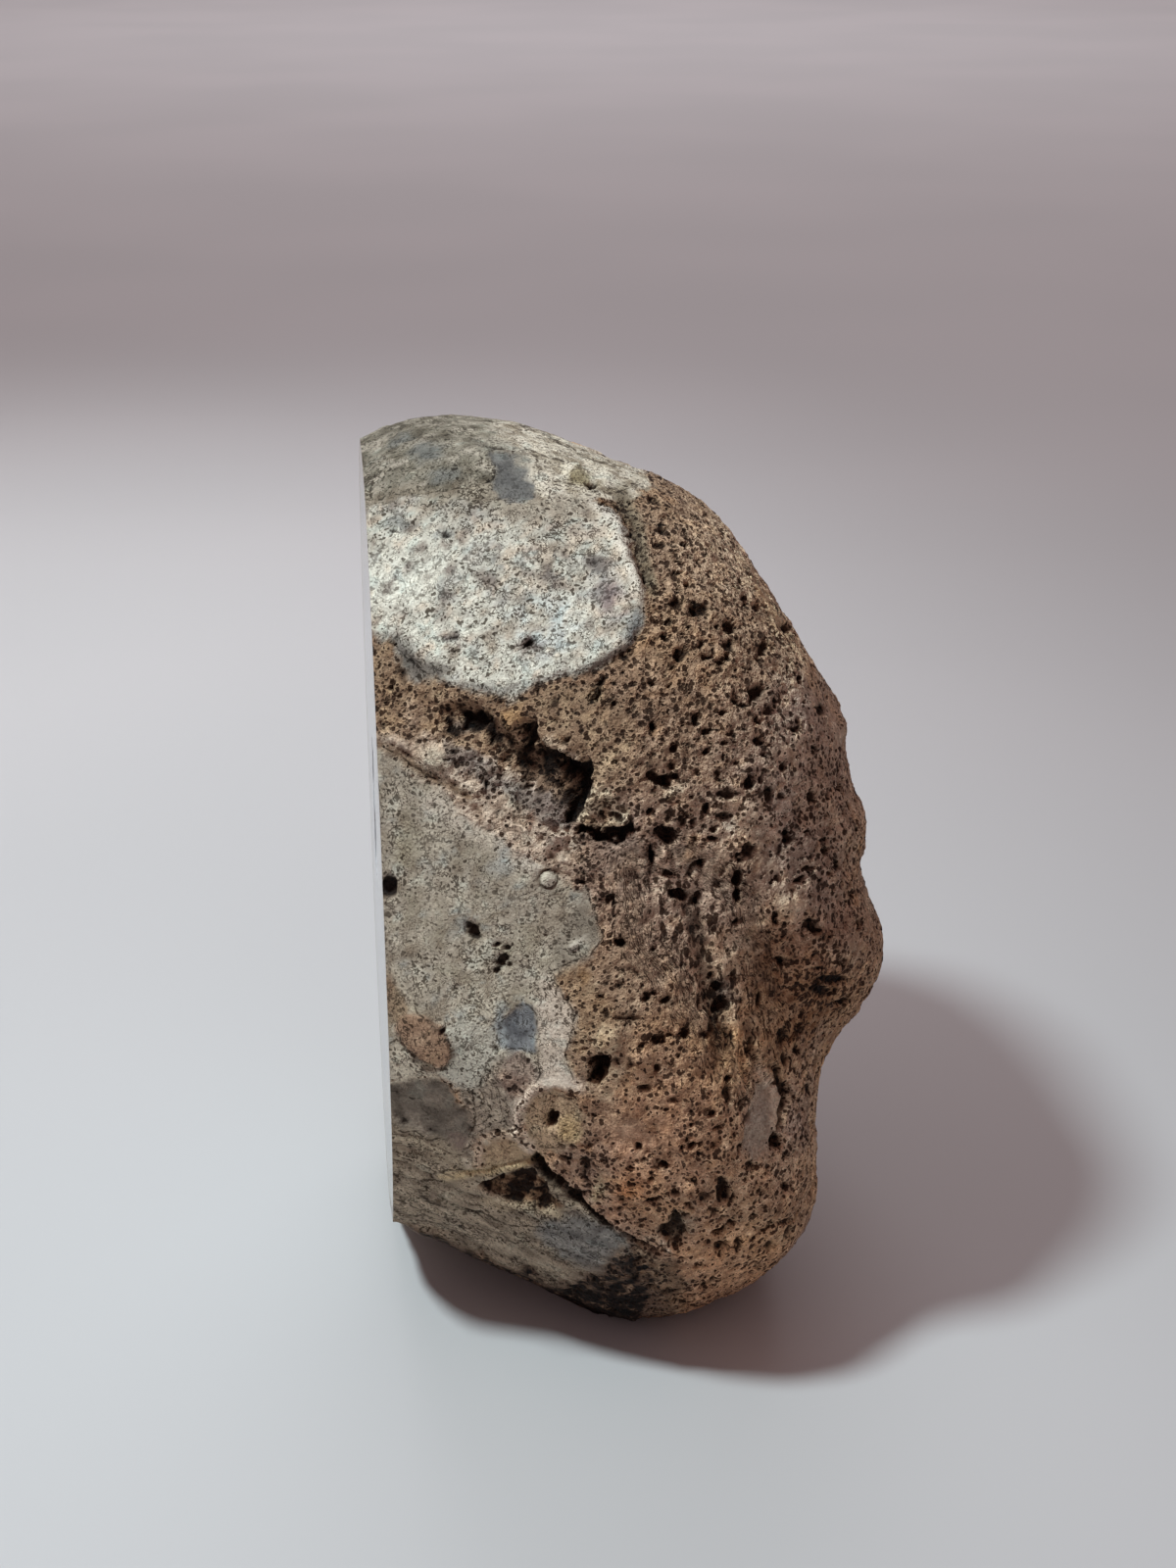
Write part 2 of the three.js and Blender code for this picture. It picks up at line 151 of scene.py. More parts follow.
def seg_dist2(P, A, B):
    A, B = np.asarray(A, float), np.asarray(B, float)
    ab = B - A
    L = float(ab @ ab)
    q = P - A
    if L > 0:
        t = np.clip((q @ ab) / L, 0, 1)
        q = q - t[..., None] * ab
    return (q * q).sum(-1)


def base_radius(alpha, beta):
    u = np.degrees(alpha) / STEP_A
    v = (np.degrees(beta) / STEP_B) % _nc
    i = np.clip(np.floor(u).astype(int), 0, _nr - 1)
    j = np.floor(v).astype(int)
    tu, tv = u - i, v - j
    rows = []
    for k in range(4):
        g = [_ext[i + k, (j + m - 1) % _nc] for m in range(4)]
        rows.append(_cr(g[0], g[1], g[2], g[3], tv))
    r = _cr(rows[0], rows[1], rows[2], rows[3], tu)
    P = CENTRE + r[..., None] * directions(alpha, beta)
    for x1, y1, z1, x2, y2, z2, w, h in RELIEF:
        r = r + h * np.exp(-seg_dist2(P, (x1, y1, z1), (x2, y2, z2)) / (2 * w * w))
    return r


def on_flat(alpha, beta, r):
    """Stops the radius at the flat that the stone stands on."""
    dz = directions(alpha, beta)[..., 2]
    with np.errstate(divide="ignore", invalid="ignore"):
        k = np.where(dz < 0, -CENTRE[2] / dz, np.inf)
    return np.minimum(r, k)


# ---------------------------------------------------------------- seeded noise, the same every run
def _hash(ix, iy, iz, seed):
    h = (ix.astype(np.uint32) * np.uint32(0x8DA6B343)) ^ (iy.astype(np.uint32) * np.uint32(0xD8163841)) ^ \
        (iz.astype(np.uint32) * np.uint32(0xCB1AB31F)) ^ np.uint32((seed * 0x9E3779B1) & 0xFFFFFFFF)
    h ^= h >> np.uint32(15)
    h *= np.uint32(0x2C1B3C6D)
    h ^= h >> np.uint32(12)
    h *= np.uint32(0x297A2D39)
    h ^= h >> np.uint32(15)
    return h


_G = np.array([[1, 1, 0], [-1, 1, 0], [1, -1, 0], [-1, -1, 0], [1, 0, 1], [-1, 0, 1], [1, 0, -1], [-1, 0, -1],
               [0, 1, 1], [0, -1, 1], [0, 1, -1], [0, -1, -1], [1, 1, 0], [-1, 1, 0], [0, -1, 1], [0, -1, -1]], np.float32)


def perlin(P, seed):
    P = P.astype(np.float32)
    f0 = np.floor(P)
    I = f0.astype(np.int64)
    f = P - f0
    u = f * f * f * (f * (f * 6 - 15) + 10)
    out = np.zeros(len(P), np.float32)
    for dx in (0, 1):
        wx = u[:, 0] if dx else 1 - u[:, 0]
        for dy in (0, 1):
            wy = u[:, 1] if dy else 1 - u[:, 1]
            for dz in (0, 1):
                wz = u[:, 2] if dz else 1 - u[:, 2]
                g = _G[_hash(I[:, 0] + dx, I[:, 1] + dy, I[:, 2] + dz, seed) & np.uint32(15)]
                d = g[:, 0] * (f[:, 0] - dx) + g[:, 1] * (f[:, 1] - dy) + g[:, 2] * (f[:, 2] - dz)
                out += wx * wy * wz * d
    return out


def fbm(P, size, seed, octaves=4, gain=0.5):
    """Noise with features about size mm across, roughly -1 to 1."""
    q = P / size
    s, a, tot = 0.0, 1.0, 0.0
    for k in range(octaves):
        s = s + a * perlin(q * (2.03 ** k) + 17.3 * k, seed + 31 * k)
        tot += a
        a *= gain
    return s / tot * 1.6


def cells(P, size, seed):
    """Worley cells: nearest and second distance in cell sizes, and two random numbers of the nearest cell."""
    q = (P / size).astype(np.float32)
    I = np.floor(q).astype(np.int64)
    f1 = np.full(len(P), 9.0, np.float32)
    f2 = np.full(len(P), 9.0, np.float32)
    h1 = np.zeros(len(P), np.uint32)
    for dx in (-1, 0, 1):
        for dy in (-1, 0, 1):
            for dz in (-1, 0, 1):
                c = I + np.array([dx, dy, dz])
                h = _hash(c[:, 0], c[:, 1], c[:, 2], seed)
                jx = (h & np.uint32(1023)).astype(np.float32) / 1023
                jy = ((h >> np.uint32(10)) & np.uint32(1023)).astype(np.float32) / 1023
                jz = ((h >> np.uint32(20)) & np.uint32(1023)).astype(np.float32) / 1023
                d = (c[:, 0] + jx - q[:, 0]) ** 2 + (c[:, 1] + jy - q[:, 1]) ** 2 + (c[:, 2] + jz - q[:, 2]) ** 2
                near = d < f1
                f2 = np.where(near, f1, np.minimum(f2, d))
                h1 = np.where(near, h, h1)
                f1 = np.where(near, d, f1)
    h = h1 * np.uint32(0x45D9F3B)
    h ^= h >> np.uint32(16)
    ra = (h & np.uint32(0xFFFF)).astype(np.float32) / 65535
    rb = ((h >> np.uint32(16)) & np.uint32(0xFFFF)).astype(np.float32) / 65535
    return np.sqrt(f1), np.sqrt(f2), ra, rb


def poly_sd(x, y, pts):
    """Signed distance to a closed outline, in the same units, above 0 inside."""
    n = len(pts)
    d = np.full(x.shape, 1e9, np.float32)
    inside = np.zeros(x.shape, bool)
    for k in range(n):
        ax, ay = pts[k]
        bx, by = pts[(k + 1) % n]
        ex, ey = bx - ax, by - ay
        t = np.clip(((x - ax) * ex + (y - ay) * ey) / (ex * ex + ey * ey + 1e-9), 0, 1)
        qx, qy = x - ax - t * ex, y - ay - t * ey
        d = np.minimum(d, qx * qx + qy * qy)
        if ay != by:
            cross = ((ay > y) != (by > y)) & (x < (bx - ax) * (y - ay) / (by - ay) + ax)
            inside ^= cross
    d = np.sqrt(d)
    return np.where(inside, d, -d)


def line_d(x, y, pts):
    """Distance to an open line, the place along it from 0 to 1, and the side (+1 on the right of its direction)."""
    pts = np.asarray(pts, float)
    seg = np.hypot(*(pts[1:] - pts[:-1]).T)
    cum = np.concatenate([[0], np.cumsum(seg)])
    best = np.full(x.shape, 1e18)
    along = np.zeros(x.shape)
    side = np.ones(x.shape)
    for k in range(len(pts) - 1):
        ax, ay = pts[k]
        ex, ey = pts[k + 1] - pts[k]
        t = np.clip(((x - ax) * ex + (y - ay) * ey) / (ex * ex + ey * ey + 1e-9), 0, 1)
        qx, qy = x - ax - t * ex, y - ay - t * ey
        d = qx * qx + qy * qy
        m = d < best
        best = np.where(m, d, best)
        along = np.where(m, (cum[k] + t * seg[k]) / cum[-1], along)
        side = np.where(m, np.sign(ex * qy - ey * qx), side)
    return np.sqrt(best), along, side


# =====================================================================================
# 2. The fine mesh of the rind: rings of points round the +X end, out to the cut plane
# =====================================================================================
RINGS, SPOKES = 340, 1024


def spokes_at(i):
    return int(min(SPOKES, max(8, 2 ** round(math.log2(6.8 * i)))))


def beta_of(phi):
    return phi + 0.30 * np.cos(phi)          # closer together on the -Y side


def surface(alpha, beta):
    return on_flat(alpha, beta, base_radius(alpha, beta))


def solve_rim(beta):
    lo, hi = np.full(beta.shape, 1.65), np.full(beta.shape, 2.75)
    for _ in range(34):
        mid = (lo + hi) / 2
        x = CENTRE[0] + surface(mid, beta) * np.cos(mid)
        out = x < CUT_X
        hi = np.where(out, mid, hi)
        lo = np.where(out, lo, mid)
    return (lo + hi) / 2


_phi = 2 * np.pi * np.arange(SPOKES) / SPOKES
RIM_ALPHA = solve_rim(beta_of(_phi))

_al, _be, _first, _count = [np.zeros(1)], [np.zeros(1)], [0], [1]
for _i in range(1, RINGS + 1):
    n = spokes_at(_i)
    step = SPOKES // n
    _first.append(_first[-1] + _count[-1])
    _count.append(n)
    _al.append(RIM_ALPHA[::step] * (_i / RINGS))
    _be.append(beta_of(_phi[::step]))
ALPHA, BETA = np.concatenate(_al), np.concatenate(_be)
_tri = []
for _i in range(0, RINGS):
    a0, na, b0, nb = _first[_i], _count[_i], _first[_i + 1], _count[_i + 1]
    j = np.arange(na)
    jn = (j + 1) % na
    if _i == 0:
        k = np.arange(nb)
        _tri.append(np.stack([np.zeros(nb, int), b0 + k, b0 + (k + 1) % nb], 1))
    elif nb == na:
        _tri.append(np.stack([a0 + j, b0 + j, b0 + jn], 1))
        _tri.append(np.stack([a0 + j, b0 + jn, a0 + jn], 1))
    else:
        k0, k1, k2 = 2 * j, 2 * j + 1, (2 * j + 2) % nb
        _tri.append(np.stack([a0 + j, b0 + k0, b0 + k1], 1))
        _tri.append(np.stack([a0 + j, b0 + k1, a0 + jn], 1))
        _tri.append(np.stack([a0 + jn, b0 + k1, b0 + k2], 1))
TRI = np.concatenate(_tri)
P0 = CENTRE + surface(ALPHA, BETA)[:, None] * directions(ALPHA, BETA)
RING_T = np.concatenate([np.full(_count[k], k / RINGS) for k in range(RINGS + 1)])


def vertex_normals(P, T):
    f = np.cross(P[T[:, 1]] - P[T[:, 0]], P[T[:, 2]] - P[T[:, 0]])
    N = np.stack([sum(np.bincount(T[:, k], f[:, c], len(P)) for k in range(3)) for c in range(3)], 1)
    return N / np.maximum(np.linalg.norm(N, axis=1, keepdims=True), 1e-12)


N0 = vertex_normals(P0, TRI)
if (N0 * (P0 - CENTRE)).sum() < 0:
    TRI = TRI[:, ::-1].copy()
    N0 = -N0
tick("grid of %d points, %d triangles" % (len(P0), len(TRI)))

# ---------------------------------------------------------------- the front, as the viewpoint shows it
FX, FY = to_px(P0)
_v = CAM_POS - P0
FACE = (N0 * _v).sum(1) / np.linalg.norm(_v, axis=1)
FRONT = sstep(FACE, -0.10, 0.06)
PX_MM = 5.6
NP = len(P0)
Pf = P0.astype(np.float32)
WXa, WYa = fbm(Pf, 7.0, 11, 3), fbm(Pf, 7.0, 12, 3)
WXb, WYb = fbm(Pf, 1.9, 13, 3), fbm(Pf, 1.9, 14, 3)
WXc, WYc = fbm(Pf, 0.9, 15, 2), fbm(Pf, 0.9, 16, 2)
WX, WY = 6.5 * WXa + 3.6 * WXb + 1.0 * WXc, 6.5 * WYa + 3.6 * WYb + 1.0 * WYc


def near(pts, grow):
    pts = np.asarray(pts, float)
    lo, hi = pts.min(0) - grow, pts.max(0) + grow
    return np.flatnonzero((FX > lo[0]) & (FX < hi[0]) & (FY > lo[1]) & (FY < hi[1]) & (FRONT > 0.01))


def zone(pts, soft=2.0, warp=1.0):
    """How far each point lies in an outline on the front, 0 to 1."""
    m = near(pts, 16 + soft)
    out = np.zeros(NP, np.float32)
    out[m] = sstep(poly_sd(FX[m] + warp * WX[m], FY[m] + warp * WY[m], pts), -soft, soft) * FRONT[m]
    return out


def spot(x, y, rx, ry, ang=0.0, inner=0.5, outer=1.1, warp=0.6):
    """A rounded spot on the front, 1 in its middle."""
    R = max(rx, ry) * 1.3 + 8
    m = near([(x, y)], R)
    out = np.zeros(NP, np.float32)
    k = warp * min(1.0, min(rx, ry) / 6.0)
    dx = FX[m] - x + k * (5.5 * WXb[m] + 2.0 * WXa[m] + 3.2 * WXc[m])
    dy = FY[m] - y + k * (5.5 * WYb[m] + 2.0 * WYa[m] + 3.2 * WYc[m])
    c, s = math.cos(math.radians(ang)), math.sin(math.radians(ang))
    e = np.hypot((dx * c + dy * s) / rx, (-dx * s + dy * c) / ry)
    out[m] = (1 - sstep(e, inner, outer)) * FRONT[m]
    return out


def trace(pts, w0, w1, inner=0.45, warp=0.5, end=0.0):
    """A band along an open line on the front, half-width w0 at its start and w1 at its end."""
    m = near(pts, max(w0, w1) * 1.5 + 6)
    out = np.zeros(NP, np.float32)
    d, along, _ = line_d(FX[m] + warp * (WX[m] * 0.5), FY[m] + warp * (WY[m] * 0.5), pts)
    w = w0 + (w1 - w0) * along
    fade = 1.0 if end <= 0 else sstep(along, 0, end) * sstep(1 - along, 0, end)
    out[m] = (1 - sstep(d / w, inner, 1.15)) * FRONT[m] * fade
    return out


# ---------------------------------------------------------------- outlines of the zones of the front
Z_TOPGREY = [(355, 447), (405, 415), (458, 405), (510, 418), (535, 436), (530, 455), (515, 470), (500, 490),
             (450, 500), (420, 497), (400, 500), (355, 502)]
Z_GREYTAB = [(505, 465), (530, 470), (548, 485), (548, 500), (535, 512), (515, 515), (503, 500)]
Z_TOPCREAM = [(505, 405), (560, 415), (624, 440), (655, 470), (660, 495), (640, 508), (600, 507), (560, 503),
              (548, 500), (548, 485), (530, 470), (508, 458)]
Z_TAN = [(355, 502), (400, 500), (420, 497), (450, 500), (500, 490), (505, 505), (530, 515), (560, 505), (560, 520),
         (470, 522), (400, 520), (355, 530)]
Z_WHITE = [(355, 522), (395, 512), (430, 507), (470, 514), (520, 510), (560, 505), (600, 508), (628, 530), (645, 560),
           (655, 600), (655, 635), (640, 660), (610, 680), (575, 688), (545, 702), (525, 715), (500, 705), (460, 697),
           (425, 692), (408, 675), (398, 655), (355, 640)]
Z_BAND = [(355, 650), (398, 655), (408, 675), (425, 692), (460, 697), (500, 705), (525, 715), (560, 700), (610, 700),
          (650, 740), (640, 800), (600, 800), (560, 780), (500, 770), (440, 760), (410, 755), (355, 745)]
Z_FOLDS = [(355, 745), (410, 752), (440, 748), (500, 775), (545, 800), (580, 850), (600, 880), (585, 900), (560, 880),
           (520, 862), (480, 835), (445, 805), (420, 788), (385, 765), (355, 765)]
Z_FIELD = [(355, 765), (385, 768), (420, 790), (445, 806), (480, 836), (520, 864), (560, 884), (590, 905), (605, 930),
           (615, 955), (600, 985), (565, 1000), (580, 1025), (590, 1050), (575, 1075), (590, 1115), (560, 1105),
           (505, 1095), (485, 1113), (465, 1115), (440, 1098), (400, 1100), (355, 1105)]
Z_MID = [(585, 850), (640, 868), (700, 880), (745, 900), (760, 960), (755, 1040), (720, 1060), (690, 1030), (650, 1010),
         (610, 1000), (600, 985), (615, 955), (605, 930), (590, 905), (580, 880)]
Z_LOWGREY = [(355, 1100), (400, 1102), (440, 1100), (465, 1118), (480, 1135), (482, 1155), (470, 1175), (440, 1160),
             (400, 1150), (355, 1150)]
Z_STRATA = [(355, 1148), (400, 1150), (440, 1158), (475, 1178), (500, 1190), (545, 1185), (570, 1206), (600, 1240),
            (640, 1265), (680, 1285), (670, 1330), (600, 1345), (560, 1330), (440, 1275), (355, 1240)]
Z_BLUELOW = [(560, 1240), (600, 1245), (635, 1262), (655, 1280), (640, 1300), (600, 1298), (565, 1280), (545, 1262)]
Z_STRIP = [(600, 985), (640, 960), (660, 1000), (650, 1060), (640, 1100), (625, 1120), (600, 1120), (585, 1100),
           (575, 1075), (592, 1050), (580, 1020), (566, 1002)]
Z_MINT = [(450, 1050), (470, 1040), (500, 1048), (507, 1065), (500, 1090), (490, 1100), (485, 1113), (465, 1115),
          (450, 1100), (442, 1095), (455, 1085), (462, 1075)]
Z_PALE = [(398, 1070), (420, 1080), (442, 1093), (445, 1100), (420, 1100), (398, 1104)]
Z_BLUE = [(505, 1050), (512, 1042), (525, 1030), (535, 1022), (545, 1028), (548, 1045), (547, 1075), (530, 1072),
          (520, 1075), (508, 1065)]
Z_LENS = [(505, 1100), (515, 1080), (530, 1072), (545, 1085), (550, 1095), (548, 1105), (530, 1115), (518, 1120)]
Z_OVAL = [(402, 1050), (406, 1038), (415, 1033), (435, 1035), (452, 1045), (460, 1062), (460, 1080), (452, 1090),
          (430, 1078), (410, 1062)]
Z_LOBE = [(396, 1000), (408, 1010), (417, 1030), (400, 1046), (396, 1046)]
Z_POINTED = [(598, 903), (606, 930), (616, 955), (600, 975), (585, 988), (575, 985), (560, 975), (575, 950), (590, 925)]
Z_HOLLOW = [(405, 660), (430, 668), (462, 685), (450, 697), (425, 690), (408, 675)]
Z_UNDER = [(560, 1325), (600, 1300), (640, 1300), (680, 1318), (670, 1352), (600, 1352)]
Z_LENSHOLE = [(488, 1211), (505, 1203), (528, 1198), (543, 1196), (553, 1206), (565, 1220), (572, 1232), (548, 1230), (522, 1227), (500, 1221)]
Z_SQUARE = [(599, 1081), (604, 1078), (617, 1079), (618, 1097), (607, 1106), (599, 1104)]
Z_NOTCH = [(689, 1233), (699, 1250), (697, 1264), (688, 1268), (672, 1262), (668, 1254), (680, 1250)]
Z_SLICK = [(772, 1108), (785, 1102), (797, 1112), (800, 1135), (790, 1150), (785, 1172), (772, 1185), (760, 1170),
           (762, 1150), (768, 1138)]
Z_CHANNEL = [(640, 880), (700, 870), (760, 920), (780, 1000), (790, 1080), (760, 1110), (720, 1060), (690, 1010),
             (650, 960)]

Z_CONT = [(466, 1112), (486, 1108), (496, 1096), (510, 1086), (509, 1100), (518, 1118), (532, 1118), (524, 1136), (522, 1152),
          (505, 1152), (488, 1160), (482, 1172), (480, 1192), (468, 1180), (482, 1155), (480, 1135)]
Z_PORE = [(452, 726), (470, 717), (487, 717), (500, 735), (520, 745), (535, 735), (548, 735), (552, 755), (565, 765), (592, 774),
          (600, 800), (592, 812), (583, 828), (570, 815), (545, 805), (520, 785), (490, 765), (465, 752), (452, 740)]
Z_CREV_A = [(469, 726), (487, 727), (495, 740), (490, 746), (475, 743)]
Z_CREV_B = [(529, 741), (546, 739), (549, 759), (534, 765)]
Z_CREV_C = [(570, 770), (591, 777), (597, 772), (601, 795), (598, 808), (591, 826), (586, 843), (580, 842), (583, 822), (586, 806),
            (581, 795), (568, 783)]
Z_CREV_E = [(492, 742), (510, 752), (535, 762), (575, 772), (590, 790), (584, 812), (570, 803), (545, 790), (515, 774), (496, 758)]
Z_CREV_D = [(594, 846), (604, 850), (612, 843), (625, 848), (640, 842), (640, 855), (624, 863), (607, 860), (596, 855)]
# the band of painted shade under the lower front edge
Z_EDGE_SHADE = [(400, 1244), (421, 1252), (470, 1270), (516, 1287), (558, 1306), (589, 1312), (613, 1303), (631, 1289), (648, 1276),
           (660, 1291), (664, 1312), (656, 1336), (640, 1360), (600, 1352), (558, 1330), (519, 1310), (480, 1292), (423, 1270), (396, 1262)]
Z_ROUGH_SHADE = [(612, 1300), (634, 1279), (655, 1268), (690, 1285), (702, 1310), (690, 1345), (650, 1356), (625, 1330)]
Z_KNOB = [(596, 805), (608, 800), (622, 806), (632, 822), (642, 826), (640, 840), (626, 844), (608, 850), (594, 844), (588, 836),
          (592, 820)]
Z_DOME = [(545, 1118), (565, 1112), (585, 1122), (594, 1140), (590, 1160), (575, 1172), (552, 1176), (538, 1162), (534, 1140)]
Z_ARC2 = [(492, 1166), (505, 1160), (525, 1160), (538, 1170), (545, 1180), (520, 1190), (494, 1192)]
Z_CREAMBAND = [(552, 1000), (563, 1000), (574, 1012), (584, 1028), (585, 1052), (577, 1078), (587, 1105), (590, 1112), (552, 1108),
               (552, 1080), (550, 1048), (548, 1022)]
Z_OCHRE = [(566, 1000), (572, 986), (592, 986), (604, 996), (608, 1012), (630, 1030), (634, 1046), (604, 1050), (600, 1072), (588, 1078),
           (588, 1052), (587, 1028), (576, 1010)]
Z_GREYSIDE = [(455, 755), (490, 770), (525, 798), (560, 808), (584, 815), (586, 850), (560, 845), (540, 830), (515, 822), (490, 800),
              (462, 782)]
LOWER_EDGE = [(400, 1246), (440, 1264), (480, 1281), (520, 1298), (560, 1315), (600, 1331), (640, 1346)]

# x, y, half-width, half-height, angle, depth in mm: pits and holes of the front
DENTS = [
    (603, 495, 7, 4.5, 0, 1.3), (455, 546, 6.5, 4.5, 10, 0.6), (402, 543, 5, 3, 0, 0.5), (415, 535, 6, 4, 0, 0.2),
    (540, 656, 6, 5, 0, 0.9), (535, 660, 4.5, 3.5, 0, 0.6), (547, 652, 3.5, 2.5, -30, 0.4), (463, 652, 6, 4, 0, 0.5), (563, 582, 4, 3, 0, 0.4), (606, 575, 5, 3, 0, 0.4), (408, 685, 9, 5, 40, 0.4), (505, 457, 16, 2.4, 9, 0.6),
    (516, 737, 3, 4, 0, 0.7), (567, 717, 6, 8, 0, 0.5),
    (630, 834, 10, 4, 30, 0.9),
    (680, 852, 13, 9, 10, 2.0), 
    (676, 797, 11, 7.5, 10, 2.4), (665, 790, 6, 6, 0, 1.6), (690, 792, 5, 4, 0, 1.6),
    (398, 905, 9, 14, 0, 1.8), (482, 950, 7.5, 10, -15, 1.3), (477, 943, 4, 5, 0, 0.8), (488, 957, 5, 4, 0, 0.8), (507, 964, 5, 4, 0, 0.9), (517, 968, 5, 4, 0, 0.7),
    (512, 980, 6, 7, 0, 1.2), (507, 990, 4, 5, 0, 0.8), (519, 985, 3, 4, 0, 0.6), (633, 963, 6.5, 5, -10, 1.7),
    (663, 829, 4.5, 4, 0, 1.3), (666, 741, 3.8, 5, 0, 1.3), (627, 718, 3.5, 3.5, 0, 1.0), (687, 763, 5.5, 4.5, 0, 1.2),
    (722, 767, 5, 4, 0, 1.2), (694, 667, 8, 8, 0, 1.3), (722, 671, 7, 4, 0, 0.9), (735, 676, 6, 4, 0, 0.8),
    (710, 735, 6, 9, 0, 1.1), (737, 727, 3.5, 4, 0, 1.0), (750, 716, 5, 4, 0, 0.9), (771, 707, 9, 9, 0, 1.1),
    (745, 640, 6, 9, -15, 1.2), (712, 622, 12, 9, 20, 1.0), (690, 615, 8, 6, 0, 0.9), (668, 512, 9, 5, 30, 1.1),
    (676, 540, 6, 4, 0, 1.0), (703, 596, 4.5, 4.5, 0, 1.2), (674, 556, 9, 4, 0, 0.8), (760, 612, 4, 7, -15, 1.0),
    (773, 618, 5, 5, 0, 0.8), (803, 640, 5, 7, -35, 1.3), (745, 660, 6, 8, 20, 0.8), (780, 660, 5, 9, 15, 0.8),
    (838, 722, 5, 8, -20, 0.9), (775, 755, 8, 7, 0, 1.0), (720, 746, 6, 4, 0, 0.9), (786, 725, 8, 6, 0, 0.7),
    (798, 783, 5, 5, 0, 1.0), (764, 797, 4.5, 9, 14, 1.6), (777, 795, 3.2, 6, 12, 1.1), (787, 812, 6, 11, 0, 1.3),
    (722, 826, 4.5, 8, 0, 1.3), (740, 812, 12, 6, 10, 0.9), (697, 838, 5, 9, 0, 0.9), (829, 812, 4, 9, 5, 0.9),
    (845, 809, 3, 5, 0, 0.8), (800, 813, 5, 5, 0, 0.9), (740, 834, 11, 7, 0, 0.8), (764, 867, 8.5, 8, 0, 0.9),
    (665, 873, 2.8, 13, -10, 1.8), (683, 893, 6, 5, 0, 1.2), (690, 912, 12, 6, 25, 1.9),
    (716, 881, 4, 5, 0, 1.6), (728, 857, 6.5, 3.8, 0, 1.5), (708, 884, 3, 8, 40, 0.9), (752, 897, 6, 12, 5, 2.4),
    (751, 913, 6, 7, 0, 1.8), (751, 942, 4.6, 4.6, 0, 1.8), (712, 918, 4, 9, 20, 1.1), (842, 869, 4, 4.5, -20, 1.4),
    (855, 881, 5, 7, -20, 1.4), (817, 898, 7.5, 3.6, -20, 1.4), (795, 897, 5, 5, 0, 0.9), (824, 886, 6, 4, 0, 0.8),
    (876, 944, 4, 7, 10, 1.2), (829, 946, 12, 6, 30, 1.1), (797, 980, 7, 6, 0, 1.0), (845, 892, 4, 3, 0, 0.7),
    (736, 1008, 7, 8, -5, 1.4), (741, 1026, 8, 9, -5, 1.5), (733, 1030, 4, 5, 0, 1.0), (775, 1021, 3, 8.5, 6, 1.6), (729, 996, 3, 4, 0, 1.2), (750, 995, 4, 6, 0, 0.7),
    (700, 1056, 5, 6, 0, 1.2), (671, 1062, 7, 5, 0, 1.0), (722, 1056, 5, 4, 0, 0.7), (671, 1090, 4, 5, 0, 1.2),
    (680, 1020, 8, 3, -35, 1.1), (745, 1101, 5, 4.5, 0, 1.4), (743, 1118, 6, 10, 0, 0.8), (763, 1140, 3.6, 9, 38, 1.4),
    (767, 1071, 3.5, 9, 5, 0.9), (812, 1070, 2.6, 9, 0, 0.8), (801, 1080, 4, 8, 0, 0.6),
    (793, 1163, 6, 9.5, 8, 1.9), (766, 1189, 6.5, 4.5, 15, 1.1), (755, 1172, 2.5, 6, -15, 0.9),
    (823, 1112, 3, 8, 10, 0.9), (651, 1171, 4.2, 4.2, 0, 1.4), (678, 1191, 5.4, 4.8, 0, 1.5), (704, 1170, 4, 3.8, 0, 1.3),
    (694, 1172, 2.2, 5, 0, 1.0), (733, 1151, 6, 3, -15, 1.1), (705, 1148, 4, 2.5, 0, 0.8),
    (738, 1214, 8, 14, 0, 1.7), (728, 1236, 5.5, 5, 0, 1.1), (719, 1222, 7, 6, 0, 0.6), (735, 1257, 8.5, 5.5, -10, 2.0),
    (748, 1249, 6, 3.5, -15, 1.7), (753, 1272, 3, 10, 0, 1.1), (702, 1228, 4, 3, 0, 1.2), (666, 1226, 10, 4, -8, 1.4),
    (664, 1204, 5, 3, 0, 1.1), (688, 1216, 7, 4, 20, 1.0), (735, 1275, 7, 3, -20, 0.9), (785, 1272, 5, 6, 15, 0.9),
    (805, 1255, 5, 5, 0, 0.8), (723, 1311, 9.5, 3.6, -32, 1.5), (703, 1331, 8, 2.4, 0, 0.8), (722, 1268, 3, 3, 0, 0.8),
    (688, 1318, 10, 2.4, -15, 0.7), (596, 1190, 7, 9, 0, 0.9), (576, 1183, 8, 4, 20, 0.9), (595, 1219, 4, 3, 0, 0.8),
    (563, 1142, 6, 10, 14, 2.6), (452, 1051, 3.2, 3.6, 0, 0.8), (668, 968, 3, 3, 0, 0.8), (571, 1170, 4, 3, 0, 0.5),
    (640, 1040, 18, 4, 0, 0.6), (629, 1083, 5, 5, 0, 0.5), (658, 1110, 9, 5, 0, 0.7), (686, 1122, 7, 4, 0, 0.6),
    (850, 1000, 22, 5, 0, 0.8), (838, 1012, 14, 8, 20, 0.8), (800, 1055, 6, 7, 0, 0.7), (860, 1022, 10, 3, -20, 0.9),
]
